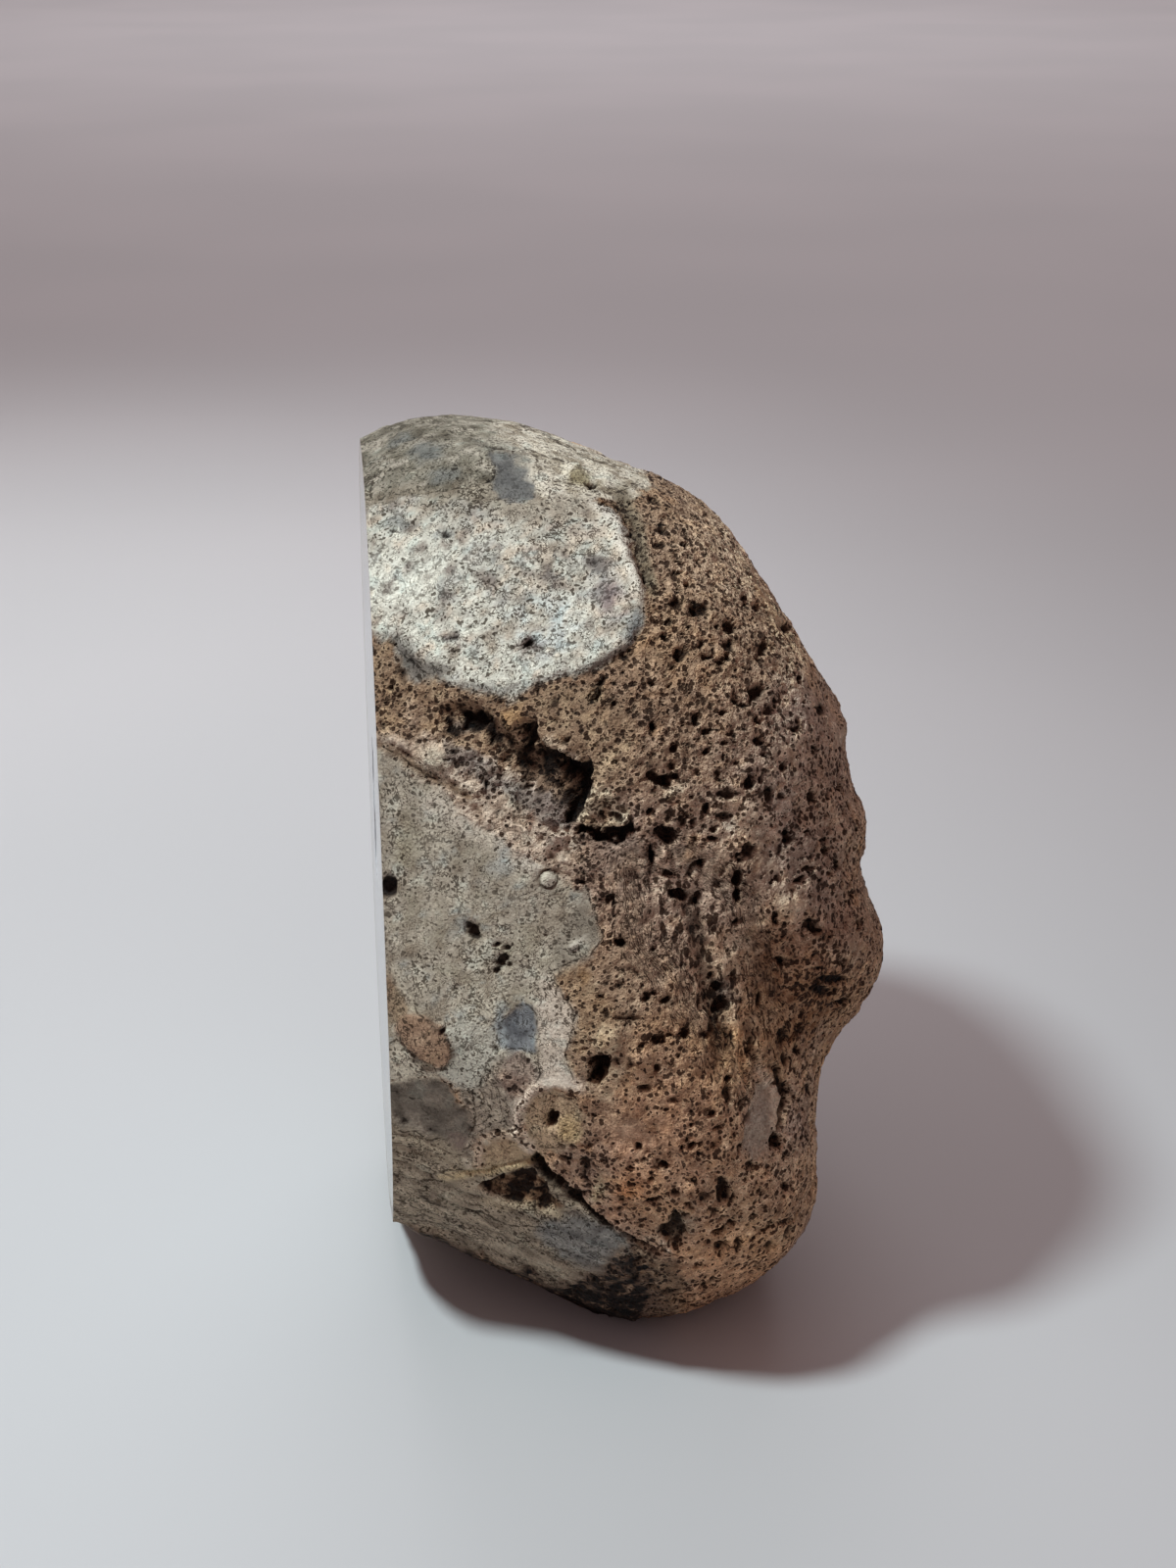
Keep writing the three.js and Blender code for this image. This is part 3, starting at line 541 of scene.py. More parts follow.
# x, y, half-width, half-height, angle, height in mm: lumps, knobs and flakes
LUMPS = [
    (585, 480, 13, 8, 15, 0.8), (620, 487, 11, 6, 10, 0.6), (571, 761, 18, 7, 12, 1.5), (590, 777, 11, 6, 20, 1.1),
    (603, 818, 11, 14, 4, 1.5), (601, 838, 10, 10, 4, 1.5), (622, 812, 11, 8, 0, 1.0), (634, 838, 8, 8, 0, 1.2), (619, 844, 9, 6, 0, 1.0),
    (446, 775, 20, 16, 25, 1.3), (521, 816, 9, 17, -35, 1.0), (560, 836, 9, 7, 20, 0.8),
    (560, 838, 8, 8, 0, 0.8), (565, 857, 14, 7, -5, 0.9), (600, 886, 11, 6, 0, 0.5), (519, 815, 9, 12, 20, 0.6),
    (520, 738, 15, 13, 0, 0.9), (676, 874, 7.5, 17, 12, 1.3), (585, 965, 13.5, 6.5, -25, 0.35), (620, 1060, 18, 16, 0, 1.6),
    (808, 922, 17, 11, 10, 0.8), (421, 730, 7, 20, 0, 0.6), (640, 1150, 26, 18, 0, 0.6), (700, 1215, 8, 6, 0, 0.3),
    (856, 962, 16, 18, 0, 0.7), (868, 850, 12, 16, 0, 0.6), (855, 745, 12, 16, 0, 0.6), (690, 1000, 22, 16, 0, 0.5),
    (655, 770, 30, 20, 0, 0.5), (725, 715, 26, 20, 0, 0.5), (470, 1060, 20, 20, 0, 0.3), (560, 1190, 20, 5, 25, 0.5),
    (715, 1290, 30, 14, 0, 0.6), (780, 1225, 26, 26, 0, 0.6), (640, 700, 20, 12, 0, 0.4), (640, 1135, 20, 10, 0, 0.3),
]
# points, half-widths at the two ends, depth in mm (below 0 is a ridge)
GROOVES = [
    ([(632, 503), (646, 540), (656, 575), (664, 606)], 8, 6, 0.55),
    ([(606, 508), (626, 540), (640, 575), (651, 600), (655, 622)], 8, 6, -0.8),
    ([(385, 756), (402, 766), (425, 781), (450, 797), (478, 811)], 8, 6, 0.42),
    ([(560, 690), (600, 685), (640, 664), (658, 636)], 5, 6, 0.5),
    ([(541, 1178), (552, 1190), (563, 1203), (578, 1214)], 7.5, 6.0, 2.6),
    ([(572, 1210), (588, 1226), (604, 1240), (628, 1257)], 4.5, 2.6, 1.8), ([(632, 1258), (650, 1267), (674, 1277)], 2.6, 1.8, 1.2),
    ([(465, 1196), (500, 1194), (530, 1185), (545, 1178)], 1.5, 2.5, 0.5),
    ([(404, 1060), (425, 1076), (445, 1089), (460, 1091)], 2.6, 2.2, 0.8),
    ([(590, 1120), (570, 1106), (547, 1112), (531, 1130), (528, 1155), (540, 1171)], 6.5, 5, -0.6),
    ([(792, 1088), (796, 1104), (803, 1118)], 3.5, 5, 1.2),
    ([(803, 1116), (800, 1135), (795, 1155)], 4, 3, 1.0),
    ([(800, 1104), (814, 1124), (826, 1142), (831, 1152)], 1.8, 1.6, 0.7),
    ([(760, 1040), (770, 1070), (775, 1100)], 4, 4, 0.5),
    ([(735, 1040), (745, 1060)], 2.2, 1.6, 0.7),
    ([(800, 1205), (795, 1225), (788, 1240)], 2.2, 2.0, 0.6),
    ([(770, 1262), (790, 1250), (812, 1243), (826, 1238)], 2.2, 1.8, 0.7),
    ([(835, 1195), (829, 1210), (824, 1222)], 2.0, 1.8, 0.5),
    ([(490, 1166), (505, 1156), (532, 1152)], 4, 4, -0.35),
    ([(488, 1168), (484, 1190)], 4, 4, -0.35),
    ([(660, 1270), (672, 1280), (678, 1277)], 2.4, 2.0, -0.4),
    ([(700, 900), (710, 940), (722, 990), (735, 1040), (742, 1090)], 10, 14, 0.7),
    ([(480, 440), (505, 462), (500, 490), (450, 501), (420, 498)], 2.2, 1.6, 0.3),
]
# outline, depth in mm, softness in px
HOLLOWS = [
    (Z_HOLLOW, 0.5, 6), (Z_LENSHOLE, 1.6, 3), (Z_SQUARE, 3.6, 2), (Z_NOTCH, 1.6, 3), (Z_SLICK, 0.7, 6),
    (Z_UNDER, 0.5, 14), (Z_GREYTAB, 0.25, 2), (Z_BLUE, 0.25, 2),
    (Z_PORE, 1.0, 6),
    (Z_OVAL, -0.9, 3), (Z_WHITE, -0.25, 6),
]

# =====================================================================================
# 3. Zones, relief and colours at every point
# =====================================================================================
def mix(a, b, t):
    return a + (b - a) * t


zone_names = dict(topgrey=Z_TOPGREY, greytab=Z_GREYTAB, topcream=Z_TOPCREAM, tan=Z_TAN, white=Z_WHITE, band=Z_BAND,
                  folds=Z_FOLDS, field=Z_FIELD, mid=Z_MID, lowgrey=Z_LOWGREY, strata=Z_STRATA, strip=Z_STRIP)
Z = {k: zone(v, 4.0, 1.6) for k, v in zone_names.items()}
Z["white"] = zone(Z_WHITE, 3.0, 1.1)
Z["field"] = zone(Z_FIELD, 3.0, 1.2)
Z["lowgrey"] = zone(Z_LOWGREY, 2.0, 0.8)
Z["greytab"] = zone(Z_GREYTAB, 1.5, 1.3)
CONT = zone(Z_CONT, 2.0, 0.5)
PORE = zone(Z_PORE, 5.0, 1.8)

# the skin of the stone near the cut is grey and cream agate; further out it is brown and full of small pits
_s1, _s2, _s3 = fbm(Pf, 26.0, 21, 3), fbm(Pf, 8.0, 22, 3), fbm(Pf, 3.0, 23, 3)
_edge = P0[:, 0] + 13.0 * _s1 + 5.0 * _s2 + 1.5 * _s3
FALL = sstep(_edge, -10.0, -5.5)
_skin = np.clip(Z["topgrey"] + Z["topcream"] + Z["tan"] + Z["white"] + Z["field"] + 0.55 * Z["folds"] + Z["lowgrey"]
                + Z["strata"] + 0.30 * Z["strip"] + CONT + zone(Z_DOME, 3, 0.7) + 0.8 * zone(Z_ARC2, 3, 0.7)
                + 0.7 * zone(Z_CREAMBAND, 2, 0.7) + Z["greytab"], 0, 1) * (1 - PORE) * (1 - np.clip(zone(Z_EDGE_SHADE, 4, 1.4) + zone(Z_ROUGH_SHADE, 4, 1.4), 0, 1))
BROWN = mix(FALL, 1 - _skin, FRONT)
BROWN = np.clip(BROWN - 0.25 * Z["band"], 0, 1)

# how strongly the larger pits show
PIT = BROWN * np.clip(0.95 + 0.5 * fbm(Pf, 12.0, 24, 2), 0.55, 1.2)
PIT = np.maximum(PIT, 0.75 * Z["band"])
PIT = np.maximum(PIT, PORE)
PIT = np.maximum(PIT, 0.85 * zone(Z_GREYSIDE, 6, 1.6))
BROWN = np.maximum(BROWN, 0.6 * zone(Z_GREYSIDE, 6, 1.6))
SLICK = np.clip(zone(Z_SLICK, 5, 0.5) + 0.8 * spot(808, 922, 17, 12) + 0.6 * spot(640, 1150, 22, 16)
                + 0.5 * spot(870, 970, 12, 20) + 0.5 * spot(860, 755, 12, 14) + zone(Z_POINTED, 3, 0.5)
                + 0.6 * spot(740, 812, 14, 8), 0, 1)
PIT = PIT * (1 - 0.85 * SLICK) * (1 - 0.60 * spot(655, 1155, 75, 42, 0, 0.2, 1.0, 2)) 
PIT = np.maximum(PIT, 0.95 * spot(832, 1000, 62, 52, 0, 0.4, 1.0, 2))
BROWN = BROWN * (1 - 0.5 * SLICK)
STRAND = zone(Z_CHANNEL, 22, 1.0)

D = np.zeros(NP, np.float64)         # mm along the normal
# CAV also darkens the colour in the shader: painted shade in pits, dents and hollows
CAV = np.zeros(NP, np.float64)       # how deep in a pit, 0 to 1

D += 0.75 * fbm(Pf, 15.0, 31, 2) * (1 - 0.55 * FRONT)
_n55, _n17 = fbm(Pf, 5.5, 32, 3), fbm(Pf, 1.7, 33, 3)
D += 0.50 * _n55 * mix(0.45, 1.0, BROWN)
D += 0.24 * _n17 * mix(0.45, 1.15, BROWN)
tick("zones")

# vesicles: round and drawn-out holes of three sizes, crowded where the crust is brown
_w = np.stack([fbm(Pf, 1.5, 41, 2), fbm(Pf, 1.5, 42, 2), fbm(Pf, 1.5, 43, 2)], 1).astype(np.float32)
_tex = 0.5 + 0.5 * np.clip(fbm(Pf, 9.0, 46, 2) * 1.6, -1, 1)
_stretch = np.array([1.0, 1.0, 0.40], np.float32)
for size, seed, keep, r0, r1, depth, warp in ((4.6, 51, 0.55, 0.11, 0.31, 0.85, 1.3), (2.6, 52, 0.66, 0.15, 0.38, 0.90, 0.9),
                                              (1.55, 53, 0.62, 0.22, 0.42, 0.80, 0.55)):
    F1, F2, ra, rb = cells(Pf + warp * _w, size, seed)
    t = r0 + (r1 - r0) * ra ** 1.6
    p = (1 - sstep(F1 / t, 0.50, 1.10)) * (rb < keep)
    Fs, _, rs, rk = cells((Pf + 0.6 * warp * _w) * _stretch, size * 0.72, seed + 7)
    ts = r0 + (r1 - r0) * rs ** 1.6
    ps = (1 - sstep(Fs / ts, 0.50, 1.10)) * (rk < keep)
    p, t = mix(p, ps, STRAND), mix(t, ts * 0.72, STRAND)
    w = np.clip(PIT * (0.45 + 0.8 * (_tex if seed == 53 else 1 - 0.35 * _tex)), 0, 1)
    D -= w * p * depth * size * t
    CAV = np.maximum(CAV, w * p * np.clip(0.36 + 1.3 * t, 0, 1))
    D += 0.09 * w * sstep(F1 / t, 0.9, 1.2) * (1 - sstep(F1 / t, 1.3, 1.9)) * (rb < keep) * (1 - STRAND)
tick("pits")

# streaks of the channel
D -= 0.34 * STRAND * PIT * (0.5 + fbm(Pf * np.array([1.0, 1.0, 0.22], np.float32), 1.5, 45, 2))

# grey field and white patch: a few small sharp pits and shallow dimples
F1, F2, ra, rb = cells(Pf + 0.5 * _w.astype(np.float32), 3.2, 61)
_pp = (1 - sstep(F1, 0.05 + 0.08 * ra, 0.14 + 0.12 * ra)) * (rb < 0.4)
D -= 0.35 * _pp * (1 - BROWN)
CAV = np.maximum(CAV, 0.5 * _pp * (1 - BROWN))
F1, F2, ra, rb = cells(Pf + 0.5 * _w.astype(np.float32), 2.2, 62)
D += 0.16 * Z["white"] * (1 - sstep(F2 - F1, 0.0, 0.5)) + 0.14 * Z["white"] * fbm(Pf, 1.4, 63, 2)
D += 0.10 * Z["topcream"] * fbm(Pf * np.array([0.4, 1, 1], np.float32), 1.2, 64, 2)

# strata: low wavy steps that run down to the right on the front, and level elsewhere near the base
_u = (FY - 0.42 * FX) / PX_MM + 1.9 * _s2 + 0.7 * _s3
_st = Z["strata"] + 0.5 * Z["lowgrey"]
_wave = np.abs(((_u / 3.1) % 1.0) - 0.5) * 2
D -= 0.22 * _st * (1 - sstep(_wave, 0.0, 0.35))
_folds = Z["folds"] + 0.7 * zone(Z_MID, 6, 1.0)
_uf = (FY - 0.55 * FX) / PX_MM + 5.5 * _s2 + 3.0 * _s3
D += 0.22 * Z["folds"] * np.sin(_uf * 2 * np.pi / 4.1) + 0.45 * Z["folds"] * fbm(Pf, 2.6, 64, 2) + 0.22 * _folds * fbm(Pf, 1.3, 65, 2)

_arcd, _, _ = line_d(FX + 0.5 * WX, FY + 0.5 * WY, [(505, 1085), (522, 1108), (527, 1135), (526, 1152), (505, 1155), (489, 1165), (487, 1188)])

DENT = np.zeros(NP)
for x, y, rx, ry, a, dep in DENTS:
    p = spot(x, y, rx, ry, a)
    D -= dep * p
    DENT = np.maximum(DENT, p * min(1.0, 0.30 + dep * 0.45))
for x, y, rx, ry, a, h in LUMPS:
    D += h * spot(x, y, rx, ry, a, 0.15, 1.15)
_rag = fbm(Pf, 1.6, 67, 2)
for pts, w0, w1, dep in GROOVES:
    p = trace(pts, w0, w1, 0.2 if dep < 0 else 0.4, 0.9, end=0.12)
    D -= dep * p
    if dep > 0:
        DENT = np.maximum(DENT, np.clip(p ** 0.7 * min(1.0, dep * 0.52) * (1 + 0.6 * _rag), 0, 1))
for pts, dep, soft in HOLLOWS:
    p = zone(pts, soft, 0.9)
    D -= dep * p
    if dep > 0.5 and pts not in (Z_LENSHOLE, Z_PORE, Z_SLICK):
        DENT = np.maximum(DENT, np.clip(p * min(1.0, dep * 0.36) * (1 + 0.8 * _rag), 0, 1))
# the crevice: dents painted dark brown, partly its dark porous rock and partly painted shade of its deep hollow,
# darkest in the band under the knob
_crev = np.clip(zone(Z_CREV_A, 2, 1.2) + zone(Z_CREV_B, 2, 1.2) + zone(Z_CREV_C, 2, 1.2) + zone(Z_CREV_D, 2, 2.2), 0, 1)
_lens = zone(Z_LENSHOLE, 2, 0.9)
_rib = sstep(np.sin((FX + 0.5 * FY) / 5.2 + 1.5 * WXc), 0.2, 0.8)
DENT = np.maximum(DENT, _lens * np.clip(0.66 + 1.4 * _rag - 0.95 * _rib, 0, 1))
D += 0.7 * _lens * sstep(np.sin((FX + 0.5 * FY) / 5.2 + 1.5 * WXc), 0.3, 0.9)
D -= 1.7 * _crev
DENT = np.maximum(DENT, _crev * np.clip(0.80 + 1.0 * _rag, 0, 1))
_crev_e = zone(Z_CREV_E, 3, 1.6)
D -= 0.7 * _crev_e
DENT = np.maximum(DENT, _crev_e * np.clip(0.40 + 1.2 * _rag, 0, 0.85))
DENT = np.maximum(DENT, PORE * np.clip(0.16 + 1.1 * _rag, 0, 0.7))
D -= 0.5 * PORE * _n17
# inside walls of the two largest hollows stay broken and lumpy
_in = np.clip(zone(Z_LENSHOLE, 3, 0.6) + spot(472, 736, 20, 12, 12) + spot(739, 1022, 12, 15), 0, 1)
_f1, _f2, _ra, _rb = cells(Pf, 1.25, 66)
D += 0.8 * _in * (1 - sstep(_f1, 0.1, 0.55)) * (_rb < 0.6)
# the small disc: a low round plate in a ring groove
_dd = np.hypot(FX - 559, FY - 897)
D += FRONT * (0.30 * (1 - sstep(_dd, 6.8, 8.4)) - 0.42 * sstep(_dd, 7.6, 8.8) * (1 - sstep(_dd, 9.8, 11.2)))
DISC = FRONT * (1 - sstep(_dd, 7.4, 9.0))
DISCRING = FRONT * sstep(_dd, 7.6, 8.8) * (1 - sstep(_dd, 10.2, 11.4))
# the lower edge of the front, where the stone turns under: painted shade, a near-black band for the shadow of the
# underside and the gap below it
_ed, _, _ = line_d(FX, FY, LOWER_EDGE)
UNDER = (1 - sstep(_ed + 2.5 * WXb, 6.0, 15.0)) * (P0[:, 2] < 16) * (P0[:, 1] < 12) * sstep(FACE, -0.75, -0.45) * sstep(P0[:, 0], -42.0, -37.0)
D += 1.0 * UNDER
EDGE_SHADE = np.clip(zone(Z_EDGE_SHADE, 3, 1.4) + UNDER * sstep(0.22 - FACE, 0.0, 0.12) + (P0[:, 2] < 12) * (P0[:, 1] < 12) * sstep(0.10 - FACE, 0.0, 0.1) * sstep(FACE, -0.75, -0.45) * sstep(P0[:, 0], -41.0, -36.0) * (1 - sstep(P0[:, 0], -4.0, 4.0)), 0, 1)
DENT = np.maximum(DENT, EDGE_SHADE * np.clip(0.30 + 1.1 * _rag + 0.5 * sstep(FY, 1300, 1345), 0, 1))
CAV = np.clip(np.maximum(CAV, DENT), 0, 1)
tick("front relief")

# ---------------------------------------------------------------- colours, as 8-bit sRGB
def paint(w, rgb, k=1.0):
    COL[:] = COL + (np.asarray(rgb, float) - COL) * np.clip(w * k, 0, 1)[:, None]


_m1, _m2, _m3 = fbm(Pf, 11.0, 71, 3), fbm(Pf, 4.0, 72, 3), fbm(Pf, 1.5, 73, 2)
_m4, _m5 = fbm(Pf, 2.3, 77, 3), fbm(Pf, 2.0, 78, 3)
COL = np.tile(np.array([138.0, 129, 116]), (NP, 1))                   # skin
paint(sstep(_m1 + 0.4 * _m2, 0.05, 0.35), (168, 160, 146))
paint(sstep(-_m1 + 0.5 * _m3, 0.15, 0.45), (116, 105, 92))
paint(sstep(fbm(Pf, 9.0, 74, 3), 0.25, 0.5), (124, 121, 115))
_brown = np.tile(np.array([124.0, 101, 82]), (NP, 1))
_brown += np.array([15.0, 15, 13]) * _m1[:, None] + np.array([14.0, 12, 9]) * _m2[:, None]
_brown += np.array([9.0, 3, -6]) * fbm(Pf, 17.0, 75, 2)[:, None]
_brown = mix(_brown * np.array([0.95, 0.98, 1.03]), _brown, FRONT[:, None])
COL += (_brown - COL) * np.clip(BROWN + 0.0, 0, 1)[:, None]

TONES = [  # x, y, radius, colour, strength: broad tones of the brown side of the front
    (690, 560, 90, (150, 127, 106), 0.75), (770, 640, 80, (116, 95, 79), 0.6), (690, 740, 90, (120, 99, 80), 0.6),
    (850, 780, 70, (108, 87, 73), 0.8), (865, 960, 50, (101, 79, 66), 0.7), (700, 840, 70, (116, 95, 79), 0.5),
    (680, 930, 50, (122, 104, 92), 0.7), (790, 985, 60, (94, 67, 50), 0.75), (640, 1015, 45, (134, 114, 96), 0.6),
    (740, 960, 40, (104, 88, 78), 0.7), (700, 1120, 60, (118, 92, 75), 0.7), (650, 1160, 40, (138, 108, 88), 0.8),
    (720, 1180, 50, (112, 85, 67), 0.6), (785, 1140, 36, (116, 96, 84), 0.8), (640, 1215, 26, (134, 98, 72), 0.7),
    (730, 1300, 70, (112, 85, 65), 0.7), (800, 1230, 50, (108, 83, 66), 0.6), (620, 740, 50, (132, 110, 88), 0.5),
    (760, 880, 40, (114, 93, 76), 0.5), (840, 880, 45, (98, 78, 64), 0.6), (830, 1010, 44, (80, 55, 38), 1.0),
    (800, 1060, 40, (108, 81, 60), 0.6), (740, 550, 40, (144, 126, 110), 0.5), (640, 520, 26, (130, 108, 88), 0.6),
    (420, 715, 40, (144, 120, 96), 0.8), (480, 715, 40, (140, 114, 86), 0.8), (585, 745, 30, (136, 115, 92), 0.7),
]
_sum = np.zeros(NP)
_acc = np.zeros((NP, 3))
for x, y, r, c, k in TONES:
    g = k * np.exp(-((FX + 3 * WX - x) ** 2 + (FY + 3 * WY - y) ** 2) / (2 * (r * 0.6) ** 2))
    _sum += g
    _acc += g[:, None] * np.asarray(c, float)
_tone = _acc / np.maximum(_sum, 1e-6)[:, None]
COL += (_tone + 12 * (_m2 + 0.6 * _m3)[:, None] - COL) * (FRONT * BROWN * np.clip(_sum * 1.3, 0, 1) * 0.85)[:, None]
# grey smooth patches and ochre ones here and there on the brown crust
paint(FRONT * BROWN * sstep(_m5 - 0.3 * _m1, 0.22, 0.50), (90, 72, 60), 0.45)
paint(FRONT * BROWN * sstep(_m4 + 0.3 * _m2, 0.28, 0.60), (150, 126, 102), 0.35)
paint(FRONT * BROWN * sstep(-_m5 - 0.4 * _m4, 0.30, 0.60), (136, 107, 80), 0.30)
paint(FRONT * PORE, (102, 83, 66), 0.9)
paint(FRONT * PORE * sstep(_m4, 0.0, 0.4), (136, 113, 90), 0.7)

paint(Z["topgrey"], (145, 141, 127))
_tq = fbm(Pf, 3.2, 88, 3)
paint(Z["topgrey"] * sstep(_m2 + 0.6 * _m4, 0.05, 0.40), (172, 166, 150), 0.9)
paint(Z["topgrey"] * sstep(-_m4 - 0.4 * _m2, 0.1, 0.4), (106, 100, 86), 0.85)
paint(Z["topgrey"] * sstep(_m5, 0.10, 0.35), (200, 193, 178), 0.85)
paint(Z["topgrey"] * sstep(_tq, 0.15, 0.35), (80, 74, 62), 0.75)
paint(spot(436, 462, 20, 12, 0, 0.5, 1.1, 1.2) + spot(455, 485, 20, 9, -8, 0.5, 1.1, 1.2) + spot(408, 450, 16, 7, -20, 0.5, 1.1, 1.2), (120, 124, 122), 0.75)
paint(Z["topcream"], (207, 200, 183))
paint(Z["topcream"] * sstep(_m4 + 0.4 * _m2, 0.0, 0.4), (220, 213, 198), 0.85)
paint(Z["topcream"] * sstep(-_m4 - 0.4 * _m3, 0.1, 0.4), (134, 122, 104), 0.85)
paint(spot(592, 488, 13, 10, 10), (150, 140, 110), 0.8)
paint(spot(583, 490, 4, 9), (116, 104, 80), 0.6)
paint(Z["tan"], (154, 146, 130))
paint(Z["tan"] * sstep(_m2 + 0.6 * _m4, 0.0, 0.4), (170, 163, 147), 0.8)
paint(Z["tan"] * sstep(-_m4 - 0.3 * _m5, 0.05, 0.4), (112, 101, 86), 0.85)
paint(Z["greytab"], (100, 101, 100), 0.95)
paint(Z["greytab"] * sstep(_m4, 0.0, 0.4), (124, 123, 118), 0.75)
paint(Z["greytab"] * sstep(-_m4 - 0.4 * _m3, 0.2, 0.5), (82, 80, 78), 0.6)
paint(trace([(488, 452), (520, 456), (532, 470)], 9, 8, 0.4, 0.6), (150, 146, 134), 0.6)
paint(Z["band"], (130, 108, 86), 0.85)
paint(Z["band"] * sstep(_m4 + 0.5 * _m5, 0.05, 0.45), (154, 131, 103), 0.75)
paint(Z["band"] * sstep(-_m4 - 0.3 * _m2, 0.15, 0.5), (102, 80, 62), 0.7)
paint(spot(421, 730, 9, 22), (158, 138, 118), 0.75)
paint(spot(522, 731, 15, 15, 0, 0.3, 1.1, 1.4), (146, 112, 72), 0.6)
paint(Z["field"], (138, 129, 116))
paint(Z["field"] * sstep(_m1 + 0.6 * _m2 + 0.4 * _m4, 0.1, 0.45), (158, 150, 135), 0.85)
paint(Z["field"] * sstep(-_m2 - 0.4 * _m1, 0.1, 0.5), (126, 118, 103), 0.8)
paint(Z["field"] * sstep(-_m4 - 0.3 * _m3, 0.2, 0.55), (110, 98, 84), 0.7)
paint(Z["field"] * sstep(_m4 - 0.3 * _m1, 0.25, 0.55), (172, 163, 149), 0.75)
paint(Z["field"] * sstep(_m5 + 0.3 * _m1, 0.30, 0.55), (130, 132, 128), 0.7)
paint(trace([(440, 820), (480, 845), (520, 868), (545, 885)], 18, 14, 0.2, 1.6), (170, 160, 147), 0.7)
paint(spot(510, 885, 16, 14, 0, 0.4, 1.1, 1.6) + spot(512, 868, 9, 12, 0, 0.4, 1.1, 1.6), (138, 140, 137), 0.6)
paint(spot(545, 905, 22, 16, 0, 0.4, 1.1, 1.6), (116, 104, 92), 0.55)
paint(spot(415, 860, 18, 30, 0, 0.4, 1.1, 1.6), (126, 118, 100), 0.5)
paint(spot(560, 940, 30, 22, -20, 0.4, 1.1, 1.6), (120, 108, 94), 0.5)
paint(Z["folds"], (181, 162, 142))
_fw = np.sin(_uf * 2 * np.pi / 4.1) + 1.2 * _m4
paint(Z["folds"] * sstep(_fw, -0.2, 0.9), (186, 170, 151), 0.8)
paint(Z["folds"] * sstep(-_fw, 0.3, 1.0), (108, 90, 76), 0.7)
paint(spot(446, 775, 20, 15, 25, 0.4, 1.1, 0.8), (160, 150, 132), 0.85)
paint(spot(521, 816, 9, 17, -35, 0.5, 1.1, 0.8), (172, 161, 140), 0.9)
paint(spot(566, 858, 14, 8, 0, 0.5, 1.1, 0.8), (168, 150, 134), 0.85)
paint(spot(560, 836, 9, 7, 20, 0.5, 1.1, 0.8), (150, 124, 106), 0.8)
paint(spot(543, 838, 5, 12, 10, 0.5, 1.1, 0.8), (110, 82, 68), 0.8)
paint(trace([(384, 762), (405, 776), (430, 792)], 7, 6, 0.3, 0.8), (150, 142, 126), 0.6)
paint(trace([(385, 758), (402, 768), (425, 783), (450, 799), (478, 813)], 7, 5, 0.2, 1.0), (100, 80, 62), 0.8)
paint(zone(Z_GREYSIDE, 5, 1.6), (108, 97, 89), 0.8)
paint(zone(Z_GREYSIDE, 6, 1.6) * sstep(_m4, 0.0, 0.4), (132, 122, 113), 0.6)
paint(Z["mid"], (124, 104, 88), 0.55)
paint(Z["mid"] * sstep(_m2 + 0.6 * _m4, 0.1, 0.5), (150, 131, 113), 0.55)
paint(Z["strip"], (130, 109, 90), 0.6)
paint(Z["strip"] * sstep(_m4, 0.1, 0.5), (164, 148, 124), 0.55)
paint(Z["lowgrey"], (78, 70, 62))
paint(Z["lowgrey"] * sstep(_m2 + 0.5 * _m4, 0.15, 0.5), (102, 92, 82), 0.8)
paint(Z["lowgrey"] * sstep(-_m4 - 0.4 * _m3, 0.1, 0.4), (56, 49, 43), 0.7)
paint(spot(466, 1166, 15, 9, 55, 0.5, 1.1, 0.8), (88, 74, 68), 0.9)
paint(Z["strata"], (104, 93, 80))
paint(Z["strata"] * sstep(_wave + 0.5 * _m4, 0.45, 0.95), (124, 111, 96), 0.75)
paint(Z["strata"] * (1 - sstep(_wave + 0.4 * _m4, 0.05, 0.3)), (70, 59, 50), 0.6)
paint(Z["strata"] * sstep(-_m4, 0.2, 0.6), (78, 68, 58), 0.6)
paint(spot(452, 1178, 34, 10, 25, 0.4, 1.1, 1.0), (122, 110, 94), 0.6)
paint(zone(Z_BLUELOW, 6, 1.2), (78, 76, 74), 0.85)
paint(zone(Z_BLUELOW, 6, 1.2) * sstep(np.sin(_u * 2.6 + 2.0 * _m4), 0.2, 0.9), (106, 102, 97), 0.7)
paint(zone(Z_BLUELOW, 6, 1.2) * sstep(-np.sin(_u * 2.6 + 2.0 * _m4), 0.6, 1.0), (56, 52, 50), 0.6)
paint(CONT, (100, 89, 79), 0.9)
paint(CONT * sstep(np.sin(_arcd * 2 * np.pi / 6.2), 0.1, 0.6), (150, 137, 122), 0.85)
paint(CONT * sstep(-np.sin(_arcd * 2 * np.pi / 6.2 + 0.6), 0.75, 0.95), (66, 56, 48), 0.7)
paint(zone(Z_MINT, 2.0, 0.8), (152, 148, 137), 0.9)
paint(zone(Z_PALE, 2.5, 0.9), (158, 149, 134), 0.9)
paint(zone(Z_CREAMBAND, 2, 0.6), (168, 155, 141), 0.92)
paint(zone(Z_CREAMBAND, 2, 0.6) * sstep(_m4 + 0.5 * _m3, 0.1, 0.5), (184, 173, 160), 0.7)
paint(zone(Z_LOBE, 2, 0.6), (124, 106, 86), 0.9)
paint(zone(Z_OVAL, 1.5, 0.4), (124, 100, 82), 0.95)
paint(zone(Z_OVAL, 3, 0.5) * sstep(_m4, 0.0, 0.4), (106, 83, 64), 0.6)
paint(trace([(440, 1040), (456, 1056), (462, 1075), (455, 1090), (437, 1093), (418, 1080)], 3.0, 2.5, 0.5, 0.5), (66, 52, 42), 0.8)
paint(spot(432, 1060, 12, 9, 25, 0.4, 1.1, 0.8), (146, 124, 104), 0.7)
